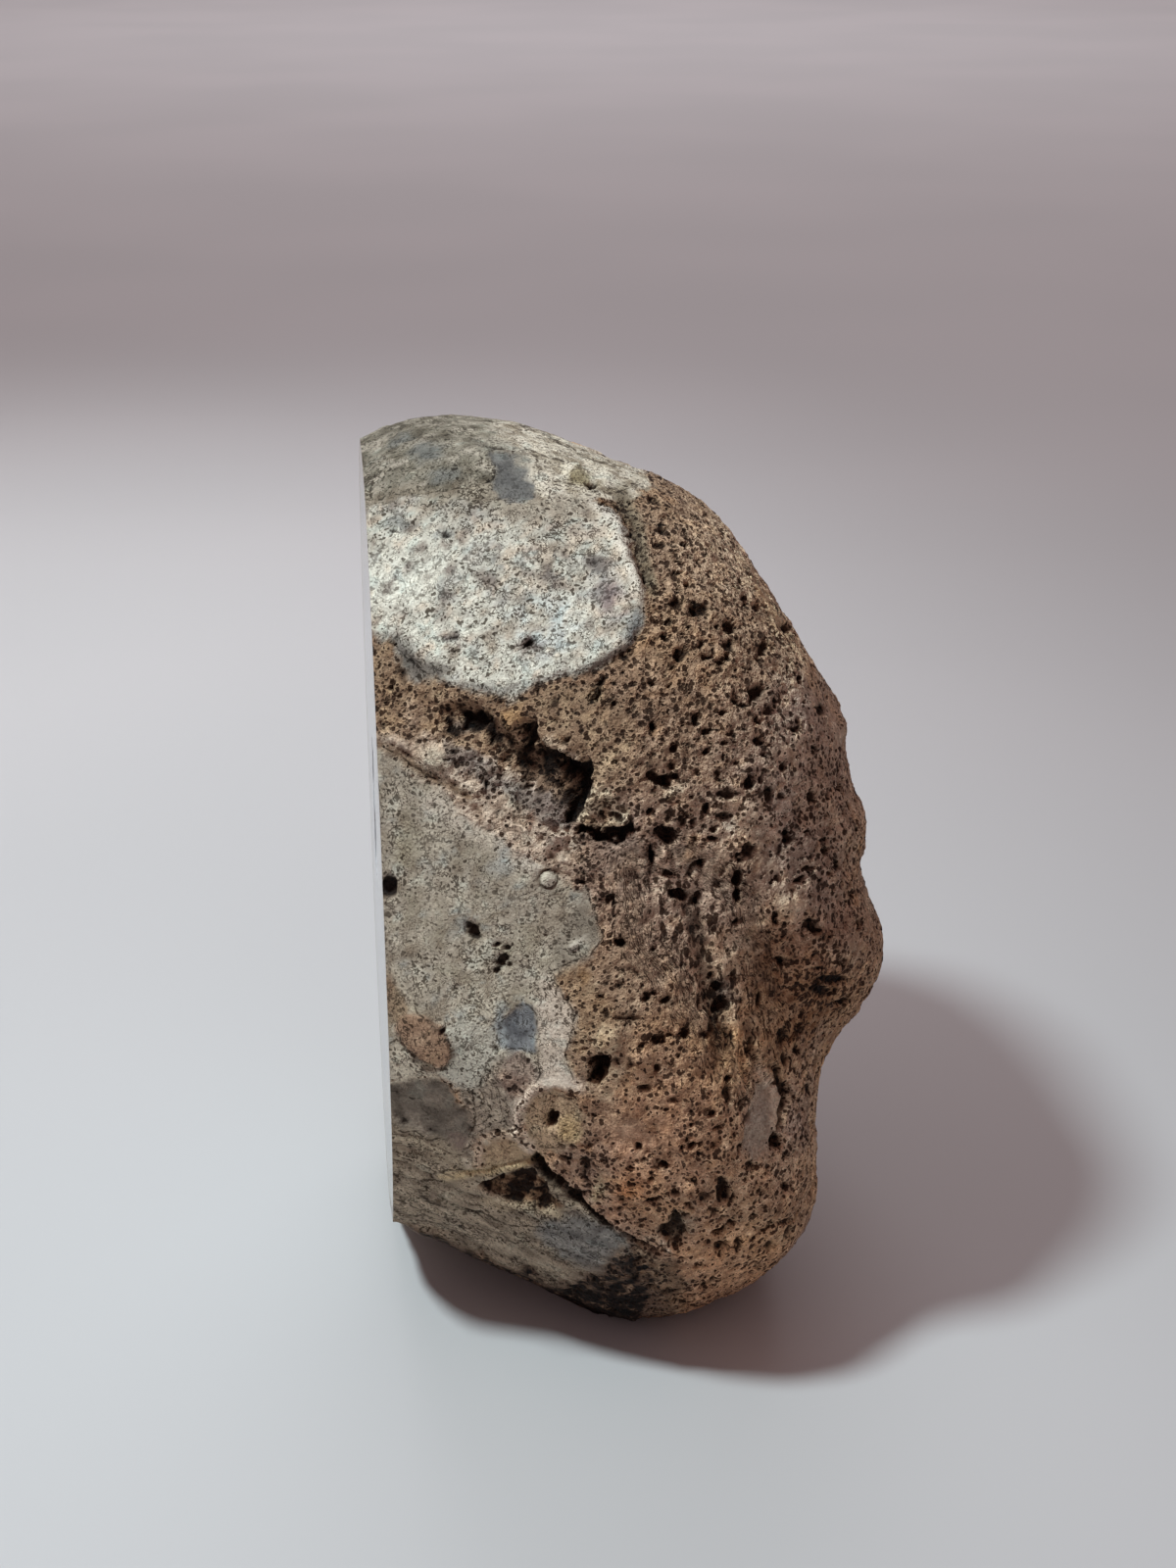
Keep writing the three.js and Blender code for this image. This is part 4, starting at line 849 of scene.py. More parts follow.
paint(zone(Z_POINTED, 2.0, 0.8), (112, 104, 93), 0.8)
paint(zone(Z_POINTED, 2.0, 0.8) * sstep(_m4, 0.0, 0.4), (138, 128, 114), 0.7)
paint(spot(589, 964, 12, 6, -28, 0.75, 1.1, 0.3), (176, 169, 156), 0.95)
paint(zone(Z_OCHRE, 2.5, 0.8), (134, 113, 90), 0.7)
paint(spot(597, 997, 7, 9, 0, 0.6, 1.1, 0.6), (112, 88, 64), 0.85)
paint(spot(619, 1061, 16, 17, 0, 0.6, 1.1, 0.6), (166, 150, 126), 0.9)
paint(spot(619, 1061, 12, 12, 0, 0.5, 1.1, 0.6) * sstep(_m4, 0.0, 0.4), (142, 118, 96), 0.5)
paint(zone(Z_BLUE, 1.5, 0.35), (92, 94, 97), 0.95)
paint(zone(Z_BLUE, 2, 0.5) * sstep(_m4, 0.0, 0.4), (122, 124, 124), 0.75)
paint(zone(Z_BLUE, 2, 0.5) * sstep(-_m4 - 0.5 * _m3, 0.1, 0.4), (64, 64, 66), 0.75)
paint(trace([(511, 1030), (509, 1048), (513, 1066)], 6, 5, 0.5, 0.4), (128, 132, 132), 0.9)
paint(trace([(526, 1036), (524, 1052), (530, 1066)], 3, 3, 0.5, 0.4), (88, 92, 96), 0.7)
paint(zone(Z_LENS, 1.5, 0.35), (104, 89, 80), 0.95)
paint(trace([(509, 1101), (518, 1090), (530, 1087), (541, 1095), (549, 1103)], 2.6, 2.6, 0.5, 0.4), (148, 132, 118), 0.85)
# the round pale arc with a tan dome in it, a yellow fibrous edge and a smaller arc beside it
paint(zone(Z_DOME, 3, 0.6), (138, 116, 94), 0.95)
paint(zone(Z_DOME, 3, 0.6) * sstep(np.sin(17 * np.arctan2(FY - 1145, FX - 562) + 2.0 * _m4), 0.2, 0.8), (120, 102, 80), 0.6)
paint(spot(580, 1153, 13, 17, -20, 0.5, 1.1, 0.7), (144, 122, 88), 0.7)
paint(zone(Z_ARC2, 2.5, 0.6), (132, 114, 92), 0.95)
paint(zone(Z_ARC2, 3, 0.6) * sstep(_m4, 0.0, 0.4), (108, 84, 66), 0.55)
paint(trace([(590, 1108), (572, 1101), (552, 1104), (538, 1116), (529, 1132), (528, 1150), (533, 1163), (541, 1171)], 9, 6, 0.65, 0.35), (162, 149, 136), 0.98)
paint(trace([(590, 1108), (572, 1101), (552, 1104), (538, 1116), (529, 1132), (528, 1150), (533, 1163), (541, 1171)], 3, 2, 0.4, 0.35), (176, 164, 152), 0.6)
paint(trace([(489, 1186), (488, 1170), (497, 1160), (512, 1156), (530, 1157), (539, 1168)], 5.5, 5, 0.6, 0.35), (146, 132, 117), 0.95)
paint(trace([(455, 1200), (480, 1197), (505, 1196), (530, 1190), (545, 1184)], 5, 4.5, 0.5, 0.5), (142, 125, 98), 0.9)
paint(trace([(494, 1226), (520, 1232), (548, 1229), (570, 1240)], 5, 4, 0.4, 0.6), (132, 118, 98), 0.7)
paint(spot(609, 1216, 8, 20, 20, 0.4, 1.1, 1.0), (138, 130, 108), 0.75)
paint(spot(640, 1216, 14, 14, 0, 0.5, 1.1, 1.0), (146, 106, 76), 0.7)
paint(spot(640, 1165, 28, 22, 0, 0.4, 1.1, 1.0), (146, 118, 98), 0.6)
paint(zone(Z_SLICK, 3, 0.8), (104, 90, 80), 0.8)
paint(zone(Z_SLICK, 3, 0.8) * sstep(_m4 + 0.4 * _m2, 0.0, 0.4), (124, 106, 94), 0.7)
paint(spot(739, 1013, 13, 22, -5, 0.4, 1.1, 1.2), (72, 60, 54), 0.8)
paint(trace([(778, 1092), (788, 1108), (796, 1130), (792, 1150)], 6, 5, 0.5, 0.6), (160, 140, 124), 0.7)
paint(spot(778, 1140, 9, 18, 5, 0.5, 1.1, 0.6), (112, 98, 88), 0.8)
paint(spot(808, 922, 15, 10), (134, 109, 90), 0.7)
paint(spot(676, 877, 8, 16, 8, 0.6, 1.1, 0.5), (152, 124, 104), 0.95)
# the pale knob over the crevice, and the flakes above it
paint(zone(Z_KNOB, 2.5, 0.8), (156, 141, 117), 0.9)
paint(zone(Z_KNOB, 2.5, 0.8) * sstep(_m4 + 0.5 * _m3, 0.1, 0.5), (178, 163, 139), 0.7)
paint(zone(Z_KNOB, 2.5, 0.8) * sstep(-_m4 - 0.3 * _m3, 0.1, 0.5), (112, 90, 70), 0.8)
paint(spot(568, 760, 16, 7, 22, 0.6, 1.1, 0.6), (164, 147, 126), 0.9)
paint(spot(584, 771, 9, 5, 12, 0.6, 1.1, 0.6), (158, 140, 120), 0.85)
paint(spot(689, 806, 15, 5, -38, 0.5, 1.1, 0.7), (160, 144, 122), 0.8)
paint(spot(745, 842, 9, 6, -20, 0.5, 1.1, 0.8), (176, 160, 140), 0.8)
paint(spot(700, 1250, 14, 12), (114, 104, 92), 0.6)
paint(trace([(661, 1264), (670, 1262), (678, 1268), (682, 1274)], 2.2, 2, 0.5, 0.3), (186, 172, 156), 0.95)
# the white patch: chalky white, blotched with cream and grey-brown, most of all along its top
WHT = Z["white"] * (1 - 0.75 * (1 - sstep(FY + 9 * _m2 + 5 * _m4, 512, 540)) * sstep(FX, 400, 450) * (1 - sstep(FX, 585, 605)))
paint(WHT, (184, 183, 172))
_wn = 0.55 * _m2 + 0.35 * _m1 + 0.55 * _m4 + 0.25 * _m3
_wl = 1.35 * np.exp(-(((FX - 425) / 72) ** 2 + ((FY - 590) / 50) ** 2)) + 0.7 * np.exp(-(((FX - 590) / 40) ** 2 + ((FY - 620) / 35) ** 2)) + 0.7 * np.exp(-(((FX - 530) / 50) ** 2 + ((FY - 685) / 20) ** 2))
_wd = np.exp(-((FY - 520) / 20.0) ** 2) * sstep(FX, 420, 480) + 0.45 * np.exp(-(((FX - 500) / 34) ** 2 + ((FY - 575) / 24) ** 2))
_wv = _wn + 0.42 * _wl - 0.45 * _wd
paint(WHT * sstep(_wv, -0.10, 0.30), (210, 210, 198), 0.9)
paint(WHT * sstep(_wv, 0.35, 0.75), (228, 231, 219), 0.85)
paint(WHT * sstep(_m5 - 0.2 * _wl + 0.25 * sstep(FX, 460, 560) * (1 - sstep(FY, 600, 640)), 0.10, 0.40), (202, 188, 170), 0.8)
paint(WHT * sstep(-_wv, 0.05, 0.40), (150, 140, 126), 0.85)
paint(WHT * sstep(-_wv, 0.45, 0.80), (112, 100, 88), 0.75)
_wb = fbm(Pf, 3.0, 79, 3)
paint(WHT * sstep(_wb, 0.22, 0.45), (122, 112, 104), 0.7)
paint(WHT * spot(560, 640, 60, 45, 0, 0.3, 1.1, 1.5) * sstep(_m4 + 0.5 * _m2, -0.3, 0.3), (204, 212, 209), 0.8)
paint(WHT * spot(615, 600, 34, 34, 0, 0.3, 1.1, 1.5) * sstep(_m4 + 0.4 * _m2, -0.1, 0.3), (150, 142, 138), 0.7)
paint(WHT * (spot(605, 577, 18, 12, 0, 0.3, 1.1, 1.6) + spot(562, 588, 13, 10, 0, 0.3, 1.1, 1.6)), (108, 102, 98), 0.75)
paint(WHT * spot(628, 612, 16, 26, 0, 0.3, 1.1, 1.6) * sstep(_m4, -0.3, 0.2), (140, 122, 122), 0.6)
paint(WHT * (spot(540, 658, 17, 12, 0, 0.3, 1.1, 1.6) + spot(463, 652, 12, 9, 0, 0.3, 1.1, 1.6)), (96, 84, 80), 0.8)
paint(WHT * (spot(456, 545, 11, 9, 0, 0.3, 1.1, 1.6) + spot(410, 536, 22, 8, 0, 0.3, 1.1, 1.6) + spot(508, 575, 16, 7, 40, 0.3, 1.1, 1.6)), (122, 124, 122), 0.7)
paint(WHT * spot(650, 640, 15, 28, 15, 0.4, 1.1, 1.0), (118, 121, 121), 0.85)
paint(WHT * trace([(402, 660), (425, 682), (455, 697), (500, 702)], 13, 6, 0.3, 1.4), (112, 108, 102), 0.85)
paint(WHT * trace([(500, 706), (545, 702), (600, 686), (642, 664)], 7, 9, 0.3, 0.8), (128, 126, 120), 0.75)
paint(WHT * trace([(606, 512), (628, 540), (641, 577), (650, 604)], 8, 6, 0.4, 0.6), (206, 200, 188), 0.9)
paint(trace([(634, 503), (650, 540), (659, 575), (666, 606)], 11, 8, 0.3, 0.8), (108, 98, 82), 0.85)
paint(zone(Z_HOLLOW, 5, 1.4), (88, 82, 76), 0.7)
paint(zone(Z_LENSHOLE, 3, 0.8), (86, 65, 48), 0.9)
paint(zone(Z_SQUARE, 2, 0.3), (84, 64, 50), 0.8)
paint(zone(Z_NOTCH, 2, 0.3), (92, 80, 68), 0.8)
# painted shade in the crevice, over the dark brown of its porous rock
paint(_crev_e, (74, 57, 44), 0.75)
paint(_crev, (62, 47, 36), 0.9)
# painted shade on the underside at the bottom front, partly its dark pitted crust
paint(zone(Z_ROUGH_SHADE, 6, 1.6), (72, 58, 46), 0.85)
paint(zone(Z_ROUGH_SHADE, 6, 1.6) * sstep(_m4 + 0.4 * _m3, 0.1, 0.5), (104, 88, 72), 0.7)
# painted shade at the left end of the crevice
paint(spot(472, 741, 18, 9, 8), (96, 84, 74), 0.8)
# painted shade on the underside, where it turns away below the front
paint(zone(Z_UNDER, 12, 1.8), (62, 48, 40), 0.8)
paint(spot(395, 1012, 6, 30), (104, 82, 64), 0.7)
paint(spot(398, 906, 9, 13), (78, 60, 50), 0.85)
# painted shade along the lower front edge, with a few brown bits in it
paint(EDGE_SHADE, (56, 43, 35), 0.92)
paint(EDGE_SHADE * sstep(_m4 + 0.5 * _m3, 0.1, 0.4), (104, 86, 70), 0.75)
paint(DISC, (172, 165, 150), 0.95)
paint(DISCRING, (66, 54, 44), 0.75)
# the lower half of the brown side is a little darker and warmer
COL *= 1 - (FRONT * BROWN * sstep(FY, 880, 1020))[:, None] * np.array([0.07, 0.105, 0.125])
COL *= 1 - (FRONT * BROWN * sstep(FY, 620, 760) * (1 - sstep(FY, 880, 1020)))[:, None] * np.array([0.04, 0.045, 0.02])
# broken warm grain on everything, so that no patch is even
COL += (11.0 * _m3 + 8.0 * _m4)[:, None] * np.array([1.0, 1.0, 0.95]) * mix(0.9, 1.15, BROWN)[:, None]

# thin dark lines of the front: signed distance in mm to the nearest, and where they count
LINES = [
    [(505, 470), (502, 488), (478, 498), (450, 501)], [(425, 640), (414, 645), (404, 650)],
    [(448, 1100), (465, 1115), (485, 1113), (491, 1100), (506, 1088)], [(500, 1046), (508, 1062), (503, 1078), (492, 1095)],
    [(505, 1055), (512, 1042), (525, 1028), (538, 1022), (548, 1032), (549, 1050)], [(512, 1072), (530, 1070), (547, 1076)],
    [(548, 1076), (552, 1095), (549, 1105)], [(563, 999), (572, 1010), (584, 1028), (585, 1052), (577, 1078), (587, 1105)],
    [(396, 1066), (410, 1058), (404, 1040)], [(420, 1010), (424, 1030), (440, 1040)],
    [(403, 1152), (425, 1155), (440, 1165), (455, 1161)], [(400, 1177), (425, 1186), (450, 1196), (480, 1192)],
    [(400, 1200), (425, 1206), (455, 1205)], [(425, 1222), (455, 1232), (490, 1236), (520, 1250), (560, 1252)],
    [(400, 1222), (430, 1236), (470, 1250), (500, 1262)], [(500, 1262), (520, 1266), (545, 1268)], [(430, 1245), (465, 1258)],
    [(480, 1118), (487, 1135), (484, 1150), (478, 1160)], [(397, 1112), (412, 1118), (430, 1122)],
    [(598, 903), (606, 930), (616, 955), (600, 976), (566, 988)], [(560, 915), (575, 905), (590, 905)],
    [(645, 498), (620, 503), (600, 501)], [(520, 430), (560, 444), (590, 462), (640, 482)], [(540, 462), (570, 470), (588, 476)],
    [(560, 438), (600, 452), (628, 470)], [(530, 452), (548, 470), (552, 490)],
    [(590, 1118), (586, 1127), (578, 1120)], [(655, 1262), (690, 1278)], [(820, 1100), (818, 1120)], [(762, 1120), (764, 1140), (757, 1152)],
    [(402, 655), (420, 676), (450, 695), (500, 708), (545, 712)], [(500, 712), (520, 716), (540, 714)],
    [(388, 760), (404, 770), (428, 786), (452, 800)], [(600, 1240), (640, 1268), (665, 1280)],
]
LN, LM = np.full(NP, 5.0), np.zeros(NP)
_best = np.full(NP, 1e9)
for pts in LINES:
    m = near(pts, 16)
    d, along, side = line_d(FX[m] + 0.8 * WXb[m] * 3.0 + 0.25 * WX[m], FY[m] + 0.8 * WYb[m] * 3.0 + 0.25 * WY[m], pts)
    ends = sstep(along, 0, 0.06) * sstep(1 - along, 0, 0.06)
    k = d < _best[m]
    mm = m[k]
    _best[mm] = d[k]
    LN[mm] = np.clip(d[k] * side[k] / PX_MM, -2.2, 2.2)
    LM[mm] = FRONT[mm] * (1 - sstep(d[k], 5, 11)) * ends[k]

SPECK = np.clip((1 - BROWN) * (0.9 + 0.4 * fbm(Pf, 9.0, 81, 2)), 0, 1) * (1 - 0.45 * Z["greytab"]) * (1 - 0.6 * Z["lowgrey"])
SPECK = mix(SPECK, 0.62 + 0.55 * sstep(-_wv, -0.60, 0.25), Z["white"])
_arcs = np.clip(trace([(590, 1108), (572, 1101), (552, 1104), (538, 1116), (529, 1132), (528, 1150), (533, 1163), (541, 1171)], 10, 8, 0.4, 0.35)
                + trace([(489, 1186), (488, 1170), (497, 1160), (512, 1156), (530, 1157), (539, 1168)], 6, 6, 0.4, 0.35), 0, 1)
SPECK *= 1 - 0.75 * _arcs
GLOSS = np.clip(0.55 * SLICK + 0.7 * zone(Z_GREYTAB, 3, 0.4) + 0.6 * zone(Z_BLUE, 3, 0.4) + 0.5 * zone(Z_BLUELOW, 8, 1)
                + 0.35 * Z["field"] + 0.3 * Z["lowgrey"] + 0.3 * (1 - BROWN) * (1 - FRONT), 0, 1)
CONTOUR = fbm(Pf + 2.2 * np.stack([_m2, _m4, _m2], 1).astype(np.float32), 13.0, 82, 3)
HAIR = np.clip((1 - BROWN) * sstep(fbm(Pf, 6.0, 83, 2), -0.05, 0.25) * (1 - 0.75 * Z["white"]) * (1 - 0.5 * GLOSS), 0, 1)
# in a few zones the hair lines follow the layers: round the pale arcs, along the strata and along the folds
CONTOUR = np.where(CONT > 0.4, _arcd / PX_MM / (13.0 * 1.25), CONTOUR)
HAIR = np.maximum(HAIR, CONT) * (1 - 0.9 * _arcs)
_sel = (Z["strata"] > 0.4) & (CONT <= 0.4)
CONTOUR = np.where(_sel, (_u + 0.7 * _m4) / (13.0 * 1.9), CONTOUR)
HAIR = np.where(_sel, np.maximum(HAIR, 0.85 * sstep(fbm(Pf, 5.0, 85, 2), -0.15, 0.2)), HAIR)
_sel = (Z["folds"] > 0.4) & (CONT <= 0.4)
CONTOUR = np.where(_sel, (_uf + 1.0 * _m4) / (13.0 * 1.8), CONTOUR)
HAIR = np.where(_sel, np.maximum(HAIR, 0.8 * sstep(fbm(Pf, 4.0, 86, 2), -0.1, 0.2)), HAIR)
HAIR = np.maximum(HAIR, 0.9 * FRONT * np.clip(Z["topgrey"] + Z["topcream"] + 0.8 * Z["tan"], 0, 1) * sstep(fbm(Pf, 5.0, 87, 2), -0.2, 0.1) * (1 - Z["greytab"]))
PATCHY = sstep(fbm(Pf, 5.0, 84, 2), -0.35, 0.3)
PATCHY = np.clip(np.maximum(PATCHY, STRAND) + 1.3 * spot(832, 1000, 62, 52, 0, 0.4, 1.0, 2), 0, 1.6)
PATCHY = PATCHY * (1 - 0.8 * spot(650, 1150, 70, 40, 0, 0.2, 1.0, 2) * FRONT)
tick("colours")

# =====================================================================================
# 4. Put the relief on, and thin the mesh where it is smooth
# =====================================================================================
# near the cut the relief fades in x, so that the edge stays on the plane
_edge_mm = P0[:, 0] - CUT_X
kx = sstep(_edge_mm, 0.0, 5.0)
P = P0 + N0 * D[:, None] * np.stack([kx, np.ones(NP), np.ones(NP)], 1)
_flat = P0[:, 2] < 0.02
P[:, 2] = np.where(_flat, np.maximum(0.0, 0.25 * np.minimum(0, D) * -1.0), P[:, 2])
P[_flat, 0], P[_flat, 1] = P0[_flat, 0], P0[_flat, 1]
P[:, 2] = np.maximum(P[:, 2], 0.0)
P[:, 0] = np.maximum(P[:, 0], CUT_X)
P[RING_T > 0.9999, 0] = CUT_X


def srgb_lin(c):
    c = np.clip(np.asarray(c, float) / 255.0, 0, 1)
    return np.where(c <= 0.04045, c / 12.92, ((c + 0.055) / 1.055) ** 2.4)


# the colours above are as they look in the light of section 7; here that light is divided out of them
KEY_AT, KEY_TO, KEY_W = np.array([-215.0, -92.0, 505.0]), np.array([0.0, 0.0, 70.0]), 2.1
_d = KEY_AT - P0
_r = np.linalg.norm(_d, axis=1)
_ax = (KEY_TO - KEY_AT) / np.linalg.norm(KEY_TO - KEY_AT)
_k = KEY_W / math.pi ** 2 * np.clip((_d * N0).sum(1) / _r, 0, 1) * np.clip(-(_d @ _ax) / _r, 0, 1) / (_r / 1000.0) ** 2
_z = P0[:, 2] / 100.0
_b = np.stack([_k, np.ones(NP), N0[:, 0], N0[:, 1], N0[:, 2], _z, _z * _z, _k * _z], 1)
LIGHT = _b @ np.array([[0.118, 0.429, -0.101, 0.149, -0.043, 0.135, -0.148, 0.521],
                       [0.173, 0.412, -0.112, 0.153, -0.070, 0.124, -0.149, 0.565],
                       [0.178, 0.418, -0.114, 0.156, -0.073, 0.126, -0.151, 0.572]]).T
LIGHT = np.clip(LIGHT, (0.31, 0.275, 0.275), (1.5, 1.55, 1.6))
LIT = mix(0.45, LIGHT, FRONT[:, None])
RGB = srgb_lin(COL) / LIT * 1.03
_top = RGB.max(1)
RGB *= (np.where(_top > 0.5, 0.5 + 0.34 * np.tanh((_top - 0.5) / 0.34), _top) / np.maximum(_top, 1e-6))[:, None]


def fill(me, V, T):
    me.vertices.add(len(V))
    me.vertices.foreach_set("co", np.ascontiguousarray(V, np.float32).ravel())
    me.loops.add(len(T) * 3)
    me.loops.foreach_set("vertex_index", np.ascontiguousarray(T, np.int32).ravel())
    me.polygons.add(len(T))
    me.polygons.foreach_set("loop_start", np.arange(0, len(T) * 3, 3, dtype=np.int32))
    me.polygons.foreach_set("loop_total", np.full(len(T), 3, np.int32))
    me.update(calc_edges=True)


def attr(me, name, kind, data):
    a = me.attributes.new(name, kind, "POINT")
    key = {"FLOAT": "value", "FLOAT_VECTOR": "vector", "FLOAT_COLOR": "color"}[kind]
    a.data.foreach_set(key, np.ascontiguousarray(data, np.float32).ravel())


def read(me, name, kind):
    n = len(me.vertices)
    key, k = {"FLOAT": ("value", 1), "FLOAT_VECTOR": ("vector", 3), "FLOAT_COLOR": ("color", 4)}[kind]
    out = np.zeros(n * k, np.float32)
    me.attributes[name].data.foreach_get(key, out)
    return out.reshape(n, k) if k > 1 else out


fine = bpy.data.meshes.new("fine")
fill(fine, P / 1000.0, TRI)
attr(fine, "zc", "FLOAT_COLOR", np.concatenate([RGB, np.ones((NP, 1))], 1))
attr(fine, "w1", "FLOAT_VECTOR", np.stack([BROWN, np.clip(PIT, 0, 1), SPECK], 1))
attr(fine, "w2", "FLOAT_VECTOR", np.stack([Z["white"], STRAND, GLOSS], 1))
attr(fine, "w3", "FLOAT_VECTOR", np.stack([CAV, LN, LM], 1))
attr(fine, "w4", "FLOAT_VECTOR", np.stack([CONTOUR, HAIR, PATCHY], 1))
attr(fine, "w5", "FLOAT_VECTOR", np.stack([_m1, _m2, _m4], 1))
tmp = bpy.data.objects.new("fine", fine)
bpy.context.scene.collection.objects.link(tmp)
# keep more of the points on the front
vg = tmp.vertex_groups.new(name="thin")
_wt = np.round(mix(1.0, 0.15, FRONT) * 8) / 8
for lv in np.unique(_wt):
    vg.add(np.flatnonzero(_wt == lv).tolist(), float(max(lv, 0.05)), "REPLACE")
RIND_TRIS = 166000
mod = tmp.modifiers.new("thin", "DECIMATE")
mod.ratio = RIND_TRIS / len(TRI)
mod.vertex_group = "thin"
mod.vertex_group_factor = 2e-5
dg = bpy.context.evaluated_depsgraph_get()
rind = bpy.data.meshes.new_from_object(tmp.evaluated_get(dg))
bpy.data.objects.remove(tmp)
bpy.data.meshes.remove(fine)
nv, nt = len(rind.vertices), len(rind.polygons)
RV = np.zeros(nv * 3, np.float32)
rind.vertices.foreach_get("co", RV)
RV = RV.reshape(nv, 3).astype(np.float64) * 1000.0
RT = np.zeros(nt * 3, np.int32)
rind.loops.foreach_get("vertex_index", RT)
RT = RT.reshape(nt, 3)
RV[:, 2] = np.maximum(RV[:, 2], 0.0)
RV[:, 0] = np.maximum(RV[:, 0], CUT_X)
ATT = {n: read(rind, n, k) for n, k in (("zc", "FLOAT_COLOR"), ("w1", "FLOAT_VECTOR"), ("w2", "FLOAT_VECTOR"),
                                        ("w3", "FLOAT_VECTOR"), ("w4", "FLOAT_VECTOR"), ("w5", "FLOAT_VECTOR"))}
bpy.data.meshes.remove(rind)
tick("thinned to %d points, %d triangles" % (nv, nt))

# =====================================================================================
# 5. The sawn face, with the small hollow in its middle
# =====================================================================================
e = np.concatenate([RT[:, [0, 1]], RT[:, [1, 2]], RT[:, [2, 0]]]).astype(np.int64)
key = np.minimum(e[:, 0], e[:, 1]) * nv + np.maximum(e[:, 0], e[:, 1])
_, inv, cnt = np.unique(key, return_inverse=True, return_counts=True)
rim_edges = e[cnt[inv] == 1]
nxt = dict(zip(rim_edges[:, 0].tolist(), rim_edges[:, 1].tolist()))
loop = [int(rim_edges[0, 0])]
while True:
    k = nxt[loop[-1]]
    if k == loop[0]:
        break
    loop.append(k)
assert len(loop) == len(rim_edges), "the rim isn't one loop"
loop = np.array(loop)
RV[loop, 0] = CUT_X
RIM = RV[loop][:, 1:]
area2 = (RIM[:, 0] * np.roll(RIM[:, 1], -1) - np.roll(RIM[:, 0], -1) * RIM[:, 1]).sum()

VUG_Y, VUG_Z, VUG_HALF, VUG_TILT = 10.0, 80.0, np.array([8.6, 6.4, 15.5]), math.radians(14)


def vug_r(x, y, z):
    """Below 1 inside the hollow."""
    c, s = math.cos(-VUG_TILT), math.sin(-VUG_TILT)
    yy, zz = y - VUG_Y, z - VUG_Z
    q = np.stack([x - CUT_X, c * yy - s * zz, s * yy + c * zz], -1) / VUG_HALF
    r = np.linalg.norm(q, axis=-1)
    u = q / np.maximum(r, 1e-9)[..., None]
    ux, uy, uz = u[..., 0], u[..., 1], u[..., 2]
    bump = 1 + 0.10 * np.sin(5.1 * uy + 3.7 * uz + 1.1) + 0.07 * np.sin(7.3 * uz - 4.1 * ux + 0.4) + 0.05 * np.sin(9.7 * uy - 6.1 * uz)
    return r / bump


th = np.linspace(0, 2 * np.pi, 120, endpoint=False)
lo, hi = np.zeros(120), np.full(120, 30.0)
for _ in range(40):
    mid = (lo + hi) / 2
    inn = vug_r(np.full(120, CUT_X), VUG_Y + mid * np.cos(th), VUG_Z + mid * np.sin(th)) < 1
    lo, hi = np.where(inn, mid, lo), np.where(inn, hi, mid)
MOUTH = np.stack([VUG_Y + lo * np.cos(th), VUG_Z + lo * np.sin(th)], 1)

rng = np.random.default_rng(7)
step = 1.05
ys = np.arange(RIM[:, 0].min(), RIM[:, 0].max(), step)
zs = np.arange(RIM[:, 1].min(), RIM[:, 1].max(), step * 0.866)
gy, gz = np.meshgrid(ys, zs)
gy = gy + (np.arange(len(zs)) % 2)[:, None] * step / 2
g = np.stack([gy.ravel(), gz.ravel()], 1) + rng.uniform(-0.12, 0.12, (gy.size, 2))
sd_rim = poly_sd(g[:, 0], g[:, 1], [tuple(p) for p in RIM[::3]])
sd_vug = poly_sd(g[:, 0], g[:, 1], [tuple(p) for p in MOUTH])
face_pts = g[(sd_rim > 0.7) & (sd_vug < -0.5)]
step = 0.34
vy, vz = np.meshgrid(np.arange(VUG_Y - 12, VUG_Y + 12, step), np.arange(VUG_Z - 20, VUG_Z + 20, step))
g = np.stack([vy.ravel(), vz.ravel()], 1) + rng.uniform(-0.07, 0.07, (vy.size, 2))
vug_pts = g[poly_sd(g[:, 0], g[:, 1], [tuple(p) for p in MOUTH]) > 0.22]
# crystal points: hexagonal pyramids of quartz, larger towards the middle of the hollow
kc = g[rng.permutation(len(g))][:2600]
sdk = poly_sd(kc[:, 0], kc[:, 1], [tuple(p) for p in MOUTH])
kc, sdk = kc[sdk > 0.3], sdk[sdk > 0.3]
keep, kept = [], []
for c, s in zip(kc, sdk):
    R = 0.75 + 1.15 * min(1.0, s / 4.5) * rng.uniform(0.5, 1.15)
    if all((c[0] - a) ** 2 + (c[1] - b) ** 2 > (0.62 * (R + r)) ** 2 for a, b, r in kept):
        kept.append((c[0], c[1], R))
KR = np.array(kept)
KROT = rng.uniform(0, math.pi / 3, len(KR))
KH = KR[:, 2] * rng.uniform(0.95, 1.5, len(KR))
KTY, KTZ = rng.uniform(-0.35, 0.35, len(KR)), rng.uniform(-0.35, 0.35, len(KR))


def crystals(y, z):
    h = np.zeros(len(y))
    for (cy, cz, R), rot, H, ty, tz in zip(KR, KROT, KH, KTY, KTZ):
        dy, dz = y - cy, z - cz
        m = np.flatnonzero((np.abs(dy) < 2.2 * R) & (np.abs(dz) < 2.2 * R))
        if not len(m):
            continue
        a, b = dy[m], dz[m]
        hd = np.full(len(m), -9.0)
        for k in range(6):
            t = rot + k * math.pi / 3
            hd = np.maximum(hd, a * math.cos(t) + b * math.sin(t))
        hh = H * (1 - hd / (1.15 * R)) + ty * a + tz * b
        h[m] = np.maximum(h[m], np.minimum(hh, H * 1.0))
    return h


